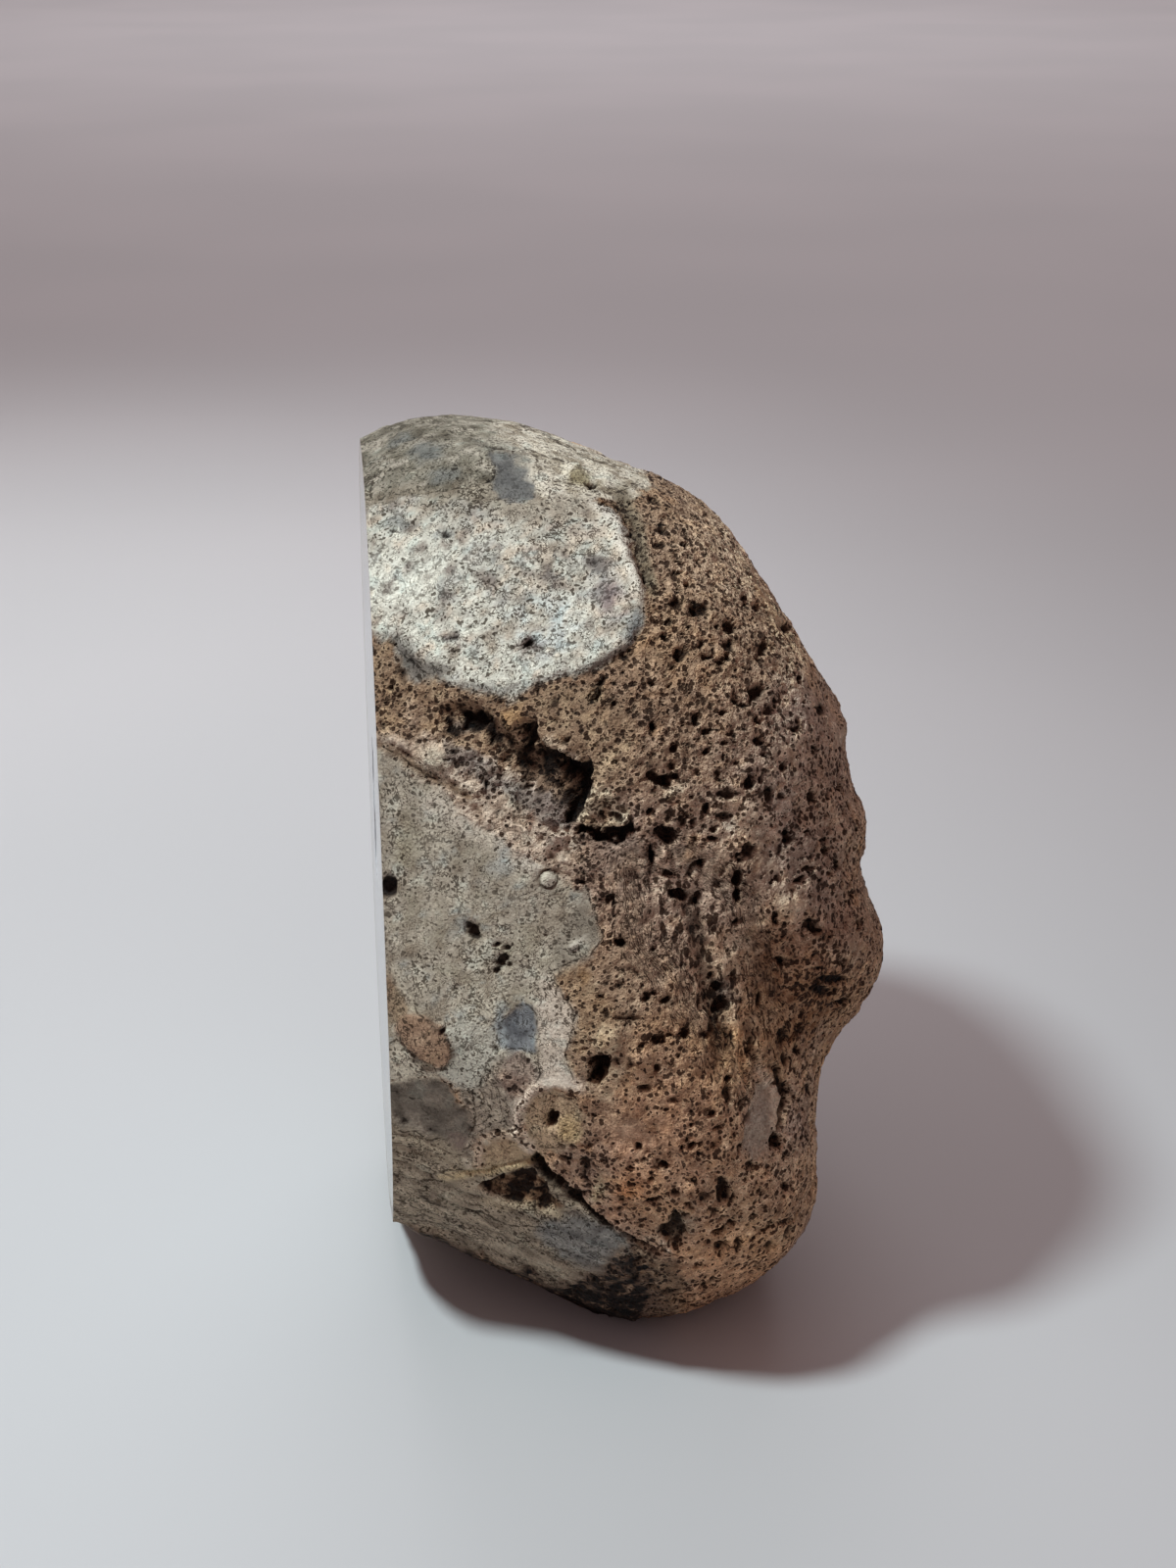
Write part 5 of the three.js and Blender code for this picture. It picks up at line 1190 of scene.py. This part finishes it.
in_pts = np.concatenate([vug_pts, KR[:, :2]])
lo, hi = np.zeros(len(in_pts)), np.full(len(in_pts), 14.0)
for _ in range(36):
    mid = (lo + hi) / 2
    inn = vug_r(CUT_X + mid, in_pts[:, 0], in_pts[:, 1]) < 1
    lo, hi = np.where(inn, mid, lo), np.where(inn, hi, mid)
depth = lo
hgt = crystals(in_pts[:, 0], in_pts[:, 1])
vug_x = CUT_X + np.maximum(depth - np.minimum(hgt, 0.86 * depth), 0.05)

pts2 = np.concatenate([RIM, MOUTH, face_pts, in_pts])
nr, nm = len(RIM), len(MOUTH)
cons = [(i, (i + 1) % nr) for i in range(nr)] + [(nr + i, nr + (i + 1) % nm) for i in range(nm)]
vo, eo, fo, vorig, _, _ = delaunay_2d_cdt([Vector(p) for p in pts2], cons, [], 0, 1e-6, True)
vo = np.array([tuple(v) for v in vo])
src = np.array([o[0] if o else -1 for o in vorig])
assert (src >= 0).all(), "crossing rim edges"
tri2 = src[np.array([f for f in fo])]
cen = pts2[tri2].mean(1)
tri2 = tri2[poly_sd(cen[:, 0], cen[:, 1], [tuple(p) for p in RIM]) > 0]
a, b, c = pts2[tri2[:, 0]], pts2[tri2[:, 1]], pts2[tri2[:, 2]]
ccw = (b[:, 0] - a[:, 0]) * (c[:, 1] - a[:, 1]) - (b[:, 1] - a[:, 1]) * (c[:, 0] - a[:, 0])
tri2 = tri2[np.abs(ccw) > 1e-9]
ccw = ccw[np.abs(ccw) > 1e-9]
tri2 = np.where((ccw > 0)[:, None], tri2[:, ::-1], tri2)      # facing -X
is_vug = (tri2 >= nr).all(1) & (poly_sd(pts2[tri2].mean(1)[:, 0], pts2[tri2].mean(1)[:, 1], [tuple(p) for p in MOUTH]) > 0)
FV = np.concatenate([np.full((len(pts2), 1), CUT_X), pts2], 1)
FV[nr + nm + len(face_pts):, 0] = vug_x
rimd = poly_sd(pts2[:, 0], pts2[:, 1], [tuple(p) for p in RIM[::2]])
rimd[:nr] = 0.0
# the bands follow the outline, rounder towards the middle: distance to the rim divided by the way to the hollow
vugd = -poly_sd(pts2[:, 0], pts2[:, 1], [tuple(p) for p in MOUTH])
vugd[nr:nr + nm] = 0.0
share = np.clip(rimd / np.maximum(rimd + np.maximum(vugd, 0), 1e-6), 0, 1)
remap = np.concatenate([loop, nv + np.arange(len(pts2) - nr)])
ALLV = np.concatenate([RV, FV[nr:]])
ALLT = np.concatenate([RT, remap[tri2]])
nall = len(ALLV)
CUTA = np.zeros((nall, 3), np.float32)                      # for the face: distance to the rim, share of the way, depth
CUTA[loop] = 0.0
CUTA[nv:, 0] = rimd[nr:]
CUTA[nv:, 1] = share[nr:]
CUTA[nv:, 2] = ALLV[nv:, 0] - CUT_X
tick("face: %d triangles, %d crystals; whole: %d triangles" % (len(tri2), len(KR), len(ALLT)))

stone = bpy.data.meshes.new("geode_stone")
fill(stone, ALLV / 1000.0, ALLT)
for n, k, w in (("zc", "FLOAT_COLOR", 4), ("w1", "FLOAT_VECTOR", 3), ("w2", "FLOAT_VECTOR", 3), ("w3", "FLOAT_VECTOR", 3),
                ("w4", "FLOAT_VECTOR", 3), ("w5", "FLOAT_VECTOR", 3)):
    full = np.zeros((nall, w), np.float32)
    full[:nv] = ATT[n]
    if n == "zc":
        full[nv:] = (0.4, 0.38, 0.35, 1.0)
    attr(stone, n, k, full)
attr(stone, "cut", "FLOAT_VECTOR", CUTA)
smooth = np.ones(len(ALLT), bool)
smooth[nt:] = False
stone.polygons.foreach_set("use_smooth", smooth)
stone.polygons.foreach_set("material_index", np.concatenate([np.zeros(nt, np.int32), np.ones(len(tri2), np.int32)]))
ne = len(stone.edges)
ev = np.zeros(ne * 2, np.int32)
stone.edges.foreach_get("vertices", ev)
ev = ev.reshape(ne, 2)
on_rim = np.zeros(nall, bool)
on_rim[loop] = True
nxt_arr = np.full(nall, -1)
nxt_arr[loop] = np.roll(loop, -1)
sharp = (nxt_arr[ev[:, 0]] == ev[:, 1]) | (nxt_arr[ev[:, 1]] == ev[:, 0])
stone.attributes.new("sharp_edge", "BOOLEAN", "EDGE").data.foreach_set("value", sharp)
stone.update()
geode = bpy.data.objects.new("geode_stone", stone)
bpy.context.scene.collection.objects.link(geode)

# =====================================================================================
# 6. Materials
# =====================================================================================
class Nodes:
    """Short calls for building a node tree. Sockets and plain numbers can be mixed."""

    def __init__(self, name):
        self.mat = bpy.data.materials.new(name)
        self.mat.use_nodes = True
        self.t = self.mat.node_tree
        self.t.nodes.clear()
        self.out = self.t.nodes.new("ShaderNodeOutputMaterial")
        self.bsdf = self.t.nodes.new("ShaderNodeBsdfPrincipled")
        self.t.links.new(self.bsdf.outputs[0], self.out.inputs["Surface"])
        co = self.t.nodes.new("ShaderNodeTexCoord")
        self.mm = self.vmath("SCALE", co.outputs["Object"], scale=1000.0)

    def put(self, sock, v):
        if hasattr(v, "links"):
            self.t.links.new(v, sock)
        else:
            sock.default_value = v

    def vmath(self, op, a, b=None, scale=None):
        n = self.t.nodes.new("ShaderNodeVectorMath")
        n.operation = op
        self.put(n.inputs[0], a)
        if b is not None:
            self.put(n.inputs[1], b)
        if scale is not None:
            self.put(n.inputs["Scale"], scale)
        return n.outputs["Value"] if op in ("LENGTH", "DOT_PRODUCT", "DISTANCE") else n.outputs["Vector"]

    def math(self, op, a, b=0.0, c=0.0, clamp=False):
        n = self.t.nodes.new("ShaderNodeMath")
        n.operation = op
        n.use_clamp = clamp
        self.put(n.inputs[0], a)
        self.put(n.inputs[1], b)
        self.put(n.inputs[2], c)
        return n.outputs[0]

    def mul(self, a, b):
        return self.math("MULTIPLY", a, b)

    def add(self, a, b):
        return self.math("ADD", a, b)

    def sub(self, a, b):
        return self.math("SUBTRACT", a, b)

    def step(self, x, a, b, lo=0.0, hi=1.0):
        """Smooth step of x from a to b, giving lo to hi."""
        n = self.t.nodes.new("ShaderNodeMapRange")
        n.interpolation_type = "SMOOTHSTEP"
        self.put(n.inputs["Value"], x)
        self.put(n.inputs["From Min"], a)
        self.put(n.inputs["From Max"], b)
        self.put(n.inputs["To Min"], lo)
        self.put(n.inputs["To Max"], hi)
        return n.outputs[0]

    def attr(self, name):
        n = self.t.nodes.new("ShaderNodeAttribute")
        n.attribute_name = name
        return n

    def xyz(self, v):
        n = self.t.nodes.new("ShaderNodeSeparateXYZ")
        self.put(n.inputs[0], v)
        return n.outputs[0], n.outputs[1], n.outputs[2]

    def noise(self, v, scale, detail=2.0, rough=0.5, dist=0.0, colour=False):
        n = self.t.nodes.new("ShaderNodeTexNoise")
        self.put(n.inputs["Vector"], v)
        n.inputs["Scale"].default_value = scale
        n.inputs["Detail"].default_value = detail
        n.inputs["Roughness"].default_value = rough
        n.inputs["Distortion"].default_value = dist
        return n.outputs["Color"] if colour else n.outputs["Fac"]

    def cells(self, v, scale, feature="F1", rand=1.0):
        n = self.t.nodes.new("ShaderNodeTexVoronoi")
        n.feature = feature
        self.put(n.inputs["Vector"], v)
        n.inputs["Scale"].default_value = scale
        n.inputs["Randomness"].default_value = rand
        return n

    def warp(self, v, scale, amount, detail=2.0):
        c = self.noise(v, scale, detail, colour=True)
        c = self.vmath("SUBTRACT", c, (0.5, 0.5, 0.5))
        return self.vmath("ADD", v, self.vmath("SCALE", c, scale=amount))

    def mix(self, f, a, b, kind="MIX"):
        n = self.t.nodes.new("ShaderNodeMix")
        n.data_type = "RGBA"
        n.blend_type = kind
        n.clamp_factor = True
        self.put(n.inputs[0], f)
        self.put(n.inputs[6], a if hasattr(a, "links") else (*a, 1.0))
        self.put(n.inputs[7], b if hasattr(b, "links") else (*b, 1.0))
        return n.outputs[2]

    def scale_rgb(self, col, f):
        return self.vmath("SCALE", col, scale=f)

    def ramp(self, f, stops):
        n = self.t.nodes.new("ShaderNodeValToRGB")
        self.put(n.inputs[0], f)
        r = n.color_ramp
        while len(r.elements) < len(stops):
            r.elements.new(0.5)
        for el, (p, c) in zip(r.elements, stops):
            el.position = p
            el.color = (*c, 1.0)
        return n.outputs[0]

    def bump(self, height, dist, strength=1.0, normal=None):
        n = self.t.nodes.new("ShaderNodeBump")
        n.inputs["Strength"].default_value = strength
        n.inputs["Distance"].default_value = dist
        self.put(n.inputs["Height"], height)
        if normal is not None:
            self.put(n.inputs["Normal"], normal)
        return n.outputs[0]


def rgb(r, g, b):
    return tuple(float(v) for v in srgb_lin((r, g, b)))


# ---------------------------------------------------------------- the natural rind
m = Nodes("rind")
mm = m.mm
zc = m.attr("zc").outputs["Color"]
brown, pitw, speck = m.xyz(m.attr("w1").outputs["Vector"])
white, strand, gloss = m.xyz(m.attr("w2").outputs["Vector"])
cav, line, linem = m.xyz(m.attr("w3").outputs["Vector"])
cont, hairw, patchy = m.xyz(m.attr("w4").outputs["Vector"])
big, mid, small = m.xyz(m.attr("w5").outputs["Vector"])
fine_w = m.warp(mm, 1.3, 0.48, 1.0)                   # a little irregular

n_a = m.noise(mm, 0.80, 2.0, 0.55)
n_b = m.noise(fine_w, 0.95, 1.6, 0.52)
n_c = m.noise(mm, 2.3, 1.0, 0.5)

# small vesicles, drawn out along the channel
sx, sy, sz = m.xyz(fine_w)
comb = m.t.nodes.new("ShaderNodeCombineXYZ")
m.put(comb.inputs[0], sx)
m.put(comb.inputs[1], sy)
m.put(comb.inputs[2], m.mul(sz, m.sub(1.0, m.mul(strand, 0.62))))
drawn = comb.outputs[0]


def vesicles(v, scale, r_lo, r_hi, share, grow):
    n = m.cells(v, scale)
    ra, rb, _ = m.xyz(n.outputs["Color"])
    r = m.mul(m.add(r_lo, m.mul(m.mul(ra, ra), r_hi - r_lo)), grow)
    rel = m.math("DIVIDE", n.outputs["Distance"], m.math("MAXIMUM", r, 0.02))
    here = m.math("LESS_THAN", rb, share)
    return m.mul(m.mul(m.step(rel, 1.08, 0.78), here), m.add(0.66, m.mul(0.44, ra))), m.mul(m.mul(m.step(rel, 1.02, 1.18), m.step(rel, 2.0, 1.35)), here)


full = m.math("MINIMUM", 1.0, m.mul(pitw, 1.3))
crumb = m.step(n_a, 0.62, 0.38, 0.78, 1.28)
grow = m.mul(m.mul(full, crumb), m.add(0.82, m.mul(patchy, 0.30)))
v1, ring1 = vesicles(drawn, 1.06, 0.26, 0.54, 0.95, grow)
n_d = m.noise(fine_w, 1.18, 1.6, 0.52)
cutb = m.sub(m.add(0.344, m.mul(patchy, 0.036)), m.mul(m.sub(1.0, full), 0.22))
worm = m.step(n_d, cutb, m.sub(cutb, 0.03))
wring = m.mul(m.step(n_d, m.add(cutb, 0.005), m.add(cutb, 0.028)), m.step(n_d, m.add(cutb, 0.105), m.add(cutb, 0.06)))
cutc = m.sub(1.030, cutb)
worm2 = m.step(n_d, cutc, m.add(cutc, 0.03))
wring = m.math("MAXIMUM", wring, m.mul(m.step(n_d, m.sub(cutc, 0.005), m.sub(cutc, 0.028)), m.step(n_d, m.sub(cutc, 0.105), m.sub(cutc, 0.06))))
vd = m.math("MINIMUM", 1.0, m.math("MAXIMUM", v1, m.math("MAXIMUM", m.mul(0.95, worm), m.mul(0.80, worm2))))

# the pale zones: short crooked dark marks, where the contours of one noise are broken up by another, and specks
dens = m.step(m.add(m.mul(mid, 0.8), m.mul(small, 0.6)), -0.20, 0.50)
wide = m.mul(dens, 0.030)
s1 = m.mul(m.step(m.math("ABSOLUTE", m.sub(n_a, 0.49)), m.add(0.022, wide), m.add(0.010, wide)), m.step(n_b, 0.50, 0.53))
s2 = m.mul(m.step(m.math("ABSOLUTE", m.sub(n_b, 0.50)), m.add(0.020, wide), m.add(0.008, wide)), m.step(n_a, 0.52, 0.55))
s3 = m.step(n_b, 0.37, 0.345)
dsp = m.t.nodes.new("ShaderNodeMapping")
dsp.inputs["Rotation"].default_value = (0.3, 0.6, 0.25)
dsp.inputs["Scale"].default_value = (1.0, 1.4, 1.8)
m.put(dsp.inputs["Vector"], fine_w)
sp = m.cells(dsp.outputs[0], 0.78)
spr, spg, spb = m.xyz(sp.outputs["Color"])
s4 = m.mul(m.step(m.math("DIVIDE", sp.outputs["Distance"], m.add(0.15, m.mul(0.27, m.mul(spr, spr)))), 1.06, 0.80), m.math("LESS_THAN", spg, m.add(0.18, m.mul(0.78, dens))))
ce = m.cells(fine_w, 0.66, "DISTANCE_TO_EDGE")
s5 = m.mul(m.mul(m.step(ce.outputs["Distance"], 0.085, 0.045), m.step(n_c, 0.44, 0.52)), m.mul(m.step(n_a, 0.44, 0.52), m.add(0.35, m.mul(0.65, dens))))
plates = m.cells(m.warp(mm, 0.7, 1.7, 2.0), 0.27, "DISTANCE_TO_EDGE").outputs["Distance"]
s6 = m.mul(m.mul(m.step(plates, 0.040, 0.018), m.step(n_b, 0.48, 0.54)), m.mul(m.step(n_a, 0.42, 0.50), m.step(mid, -0.25, 0.15, m.mul(0.25, white), m.add(0.45, m.mul(0.55, white)))))
specks = m.math("MAXIMUM", m.math("MAXIMUM", s1, s2), m.math("MAXIMUM", m.math("MAXIMUM", s3, s6), m.math("MAXIMUM", s4, s5)))
specks = m.math("MINIMUM", 1.0, m.mul(specks, m.mul(speck, m.add(1.0, m.mul(0.12, white)))))

# hair lines: contour lines of a slow noise
cl = m.math("ABSOLUTE", m.sub(m.math("FRACT", m.mul(m.add(cont, m.mul(n_a, 0.022)), 13.0)), 0.5))
hair = m.mul(m.step(cl, 0.11, 0.04), m.mul(hairw, m.step(n_b, 0.42, 0.50)))

# the named thin lines
lnw = m.add(line, m.mul(0.9, m.sub(n_a, 0.5)))
drawnline = m.mul(m.mul(m.step(m.math("ABSOLUTE", lnw), 0.24, 0.10), linem), m.step(n_b, 0.38, 0.50, 0.15, 1.0))

# colour
col = m.scale_rgb(zc, m.step(n_c, 0.30, 0.70, 0.88, 1.12))
lighter = m.vmath("MULTIPLY", col, (1.62, 1.66, 1.68))
# painted shade in the low parts of the brown bump and painted highlight on its high parts, both following n_a, the
# bump's height
darker = m.vmath("MULTIPLY", col, (0.66, 0.62, 0.60))
col = m.mix(m.mul(m.mul(m.step(n_a, 0.49, 0.36), brown), 0.9), col, darker)
bump_crest_highlight = m.vmath("MULTIPLY", col, (1.24, 1.25, 1.24))
col = m.mix(m.mul(m.step(n_a, 0.51, 0.62), m.mul(brown, 0.9)), col, bump_crest_highlight)
strands = m.math("MAXIMUM", m.mul(wring, 0.75), ring1)
col = m.mix(m.mul(m.mul(strands, brown), m.step(n_a, 0.38, 0.56, 0.45, 1.0)), col, lighter)
paler = m.vmath("MULTIPLY", col, (1.18, 1.18, 1.17))
col = m.mix(m.mul(m.mul(m.sub(1.0, brown), m.step(n_a, 0.54, 0.62)), 0.8), col, paler)
col = m.mix(m.mul(m.mul(white, m.step(dens, 0.50, 0.10)), 0.9), col, m.vmath("MULTIPLY", col, (1.17, 1.17, 1.16)))
col = m.mix(m.mul(m.mul(white, m.step(dens, 0.62, 0.98)), 0.8), col, m.vmath("MULTIPLY", col, (0.80, 0.78, 0.80)))
cool = m.vmath("MULTIPLY", col, (0.90, 0.98, 1.00))
col = m.mix(m.mul(m.step(small, 0.15, 0.5), m.mul(0.7, m.sub(1.0, brown))), col, cool)
warm = m.vmath("MULTIPLY", col, (1.08, 0.98, 0.86))
col = m.mix(m.mul(m.step(mid, 0.1, 0.5), m.mul(0.5, brown)), col, warm)
# painted shade: the small vesicles are painted near-black inside, for the shade in their holes
col = m.mix(m.mul(0.97, vd), col, m.vmath("MULTIPLY", col, (0.125, 0.088, 0.068)))
col = m.mix(m.mul(0.95, specks), col, m.vmath("MULTIPLY", col, (0.135, 0.115, 0.100)))
palel = m.mul(m.step(cl, 0.34, 0.44), m.step(hairw, 0.6, 0.95))
col = m.mix(m.mul(0.6, palel), col, m.vmath("MULTIPLY", col, (1.35, 1.35, 1.33)))
col = m.mix(m.mul(0.85, hair), col, m.vmath("MULTIPLY", col, (0.24, 0.20, 0.17)))
col = m.mix(m.mul(0.85, drawnline), col, m.vmath("MULTIPLY", col, (0.14, 0.115, 0.095)))
# painted shade: pits, dents, the crevice and the lower edge are darkened towards black by their depth (cav), more than
# the lamps shade them
col = m.mix(m.mul(0.985, m.step(cav, 0.06, 0.62)), col, m.vmath("MULTIPLY", col, (0.075, 0.055, 0.045)))
m.put(m.bsdf.inputs["Base Color"], col)
m.put(m.bsdf.inputs["Roughness"], m.add(m.sub(0.92, m.mul(gloss, 0.42)), m.mul(0.10, m.sub(n_a, 0.5))))
m.bsdf.inputs["Specular IOR Level"].default_value = 0.25
hgt = m.mul(vd, -0.42)
hgt = m.add(hgt, m.mul(m.mul(m.sub(n_a, 0.5), brown), 1.5))
hgt = m.add(hgt, m.mul(m.mul(strands, brown), 0.12))
hgt = m.add(hgt, m.mul(m.sub(n_c, 0.5), m.sub(0.26, m.mul(gloss, 0.18))))
m.put(m.bsdf.inputs["Normal"], m.bump(hgt, 0.001, 0.9))
rind_mat = m.mat

# ---------------------------------------------------------------- the sawn, polished face and its hollow
m = Nodes("cut_face")
mm = m.mm
rd, sh, dp = m.xyz(m.attr("cut").outputs["Vector"])
wv = m.warp(mm, 0.10, 5.0, 3.0)
w1n = m.sub(m.noise(mm, 0.085, 3.0, 0.55), 0.5)
w2n = m.sub(m.noise(mm, 0.6, 3.0, 0.6), 0.5)
w3n = m.sub(m.noise(mm, 2.2, 3.0, 0.6), 0.5)
t = m.add(sh, m.add(m.mul(w1n, 0.16), m.mul(w2n, 0.022)))
bands = m.ramp(t, [
    (0.00, rgb(140, 128, 112)), (0.07, rgb(178, 170, 156)), (0.11, rgb(120, 112, 104)), (0.14, rgb(205, 202, 194)),
    (0.19, rgb(128, 134, 142)), (0.24, rgb(104, 112, 124)), (0.27, rgb(214, 212, 206)), (0.30, rgb(150, 140, 132)),
    (0.335, rgb(190, 168, 148)), (0.36, rgb(222, 218, 210)), (0.42, rgb(142, 150, 160)), (0.47, rgb(118, 128, 142)),
    (0.50, rgb(206, 206, 204)), (0.56, rgb(168, 172, 178)), (0.70, rgb(196, 198, 202)), (1.00, rgb(186, 184, 182)),
])
finel = m.math("SINE", m.mul(m.add(t, m.mul(w3n, 0.004)), 300.0))
bands = m.scale_rgb(bands, m.step(finel, -1.0, 1.0, 0.90, 1.07))
qz = m.cells(m.warp(mm, 0.5, 0.8, 2.0), 0.34)
qzr, _, _ = m.xyz(qz.outputs["Color"])
quartz = m.mix(m.step(qzr, 0.0, 1.0), rgb(186, 189, 194), rgb(216, 216, 217))
qe = m.cells(m.warp(mm, 0.5, 0.8, 2.0), 0.34, "DISTANCE_TO_EDGE")
quartz = m.mix(m.mul(0.4, m.step(qe.outputs["Distance"], 0.06, 0.0)), quartz, rgb(150, 152, 156))
colr = m.mix(m.step(t, 0.54, 0.62), bands, quartz)
rimc = m.mix(m.step(m.noise(mm, 1.2, 4.0, 0.65), 0.35, 0.65), rgb(96, 72, 54), rgb(158, 136, 110))
wr = m.add(rd, m.add(m.mul(w1n, 3.4), m.mul(w2n, 1.8)))
colr = m.mix(m.step(wr, 2.1, 1.2), colr, rimc)
colr = m.mix(m.mul(m.step(wr, 2.9, 2.4), m.step(wr, 1.6, 2.1)), colr, rgb(206, 192, 168))
colr = m.scale_rgb(colr, m.step(m.noise(mm, 0.9, 4.0, 0.6), 0.25, 0.75, 0.93, 1.05))
hair = m.cells(m.warp(mm, 0.16, 4.0, 3.0), 0.055, "DISTANCE_TO_EDGE")
colr = m.mix(m.mul(0.45, m.mul(m.step(hair.outputs["Distance"], 0.010, 0.002), m.step(m.noise(mm, 0.12, 2.0), 0.46, 0.58))), colr, rgb(96, 84, 74))
inv = m.step(dp, 0.02, 0.25)
# painted shade: the crystals get darker the deeper they sit in the hollow
crystal = m.mix(m.step(dp, 0.5, 7.5), rgb(226, 226, 228), rgb(150, 150, 158))
crystal = m.scale_rgb(crystal, m.step(m.noise(mm, 0.8, 3.0), 0.3, 0.7, 0.88, 1.06))
colr = m.mix(inv, colr, crystal)
m.put(m.bsdf.inputs["Base Color"], m.scale_rgb(colr, 0.92))
m.put(m.bsdf.inputs["Roughness"], m.add(m.add(0.10, m.mul(inv, 0.04)), m.add(m.mul(m.step(wr, 2.1, 1.2), 0.16), m.mul(m.noise(mm, 0.5, 3.0), 0.05))))
m.bsdf.inputs["IOR"].default_value = 1.54
m.bsdf.inputs["Coat Weight"].default_value = 0.25
m.bsdf.inputs["Coat Roughness"].default_value = 0.06
hg = m.add(m.mul(m.step(m.noise(mm, 1.6, 3.0, 0.6), 0.38, 0.30), m.mul(m.step(wr, 2.4, 0.8), -0.25)), m.mul(m.noise(mm, 0.35, 2.0), 0.012))
m.put(m.bsdf.inputs["Normal"], m.bump(hg, 0.001, 0.8))
cut_mat = m.mat

geode.data.materials.append(rind_mat)
geode.data.materials.append(cut_mat)
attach(geode, "root")
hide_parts("geode_half")

# =====================================================================================
# 7. Floor, light and camera
# =====================================================================================
m = Nodes("floor")
mm = m.mm
f = m.noise(mm, 0.004, 1.0, 0.5)
fc = m.mix(m.step(f, 0.3, 0.7), rgb(209, 211, 213), rgb(213, 214, 216))
m.put(m.bsdf.inputs["Base Color"], fc)
m.put(m.bsdf.inputs["Roughness"], m.add(0.44, m.mul(f, 0.06)))
m.bsdf.inputs["Specular IOR Level"].default_value = 0.35
fm = bpy.data.meshes.new("floor")
S = 14.0
fm.from_pydata([(-S, -S, 0), (S, -S, 0), (S, S, 0), (-S, S, 0)], [], [(0, 1, 2, 3)])
floor = bpy.data.objects.new("floor", fm)
fm.materials.append(m.mat)
bpy.context.scene.collection.objects.link(floor)


def area(name, loc, target, size, power, colour):
    li = bpy.data.lights.new(name, "AREA")
    if isinstance(size, tuple):
        li.shape = "RECTANGLE"
        li.size, li.size_y = size
    else:
        li.shape = "DISK"
        li.size = size
    li.energy = power
    li.color = colour
    ob = bpy.data.objects.new(name, li)
    bpy.context.scene.collection.objects.link(ob)
    ob.location = loc
    ob.rotation_euler = (Vector(target) - Vector(loc)).to_track_quat("-Z", "Y").to_euler()
    return ob


area("key", (-0.215, -0.092, 0.505), (0.0, 0.0, 0.07), 0.075, 2.1, (0.86, 0.98, 1.0))
area("back", (0.3, 3.2, 2.2), (0.0, 3.4, 0.0), 3.0, 40.0, (0.98, 0.97, 1.0))
far = area("far", (-0.38, 0.42, 0.6), (-0.38, 0.42, 0.0), (0.9, 0.45), 0.62, (0.95, 0.99, 1.0))
far.data.spread = math.radians(55)
world = bpy.data.worlds.new("studio")
world.use_nodes = True
world.node_tree.nodes["Background"].inputs[0].default_value = (1.0, 0.70, 0.69, 1.0)
world.node_tree.nodes["Background"].inputs[1].default_value = 0.22
bpy.context.scene.world = world

cam = bpy.data.cameras.new("camera")
cam.sensor_fit = "VERTICAL"
cam.sensor_height = 36.0
cam.lens = 36.0 * CAM_F / 1600.0
cam.clip_start, cam.clip_end = 0.01, 60.0
cam_ob = bpy.data.objects.new("camera", cam)
bpy.context.scene.collection.objects.link(cam_ob)
R, U, F, C = CAM_RIGHT, CAM_UP, CAM_FWD, CAM_POS / 1000.0
cam_ob.matrix_world = Matrix(((R[0], U[0], -F[0], C[0]), (R[1], U[1], -F[1], C[1]), (R[2], U[2], -F[2], C[2]), (0, 0, 0, 1)))
bpy.context.scene.camera = cam_ob
bpy.context.scene.view_settings.view_transform = "Standard"
bpy.context.scene.view_settings.look = "None"

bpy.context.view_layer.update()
tick("done")
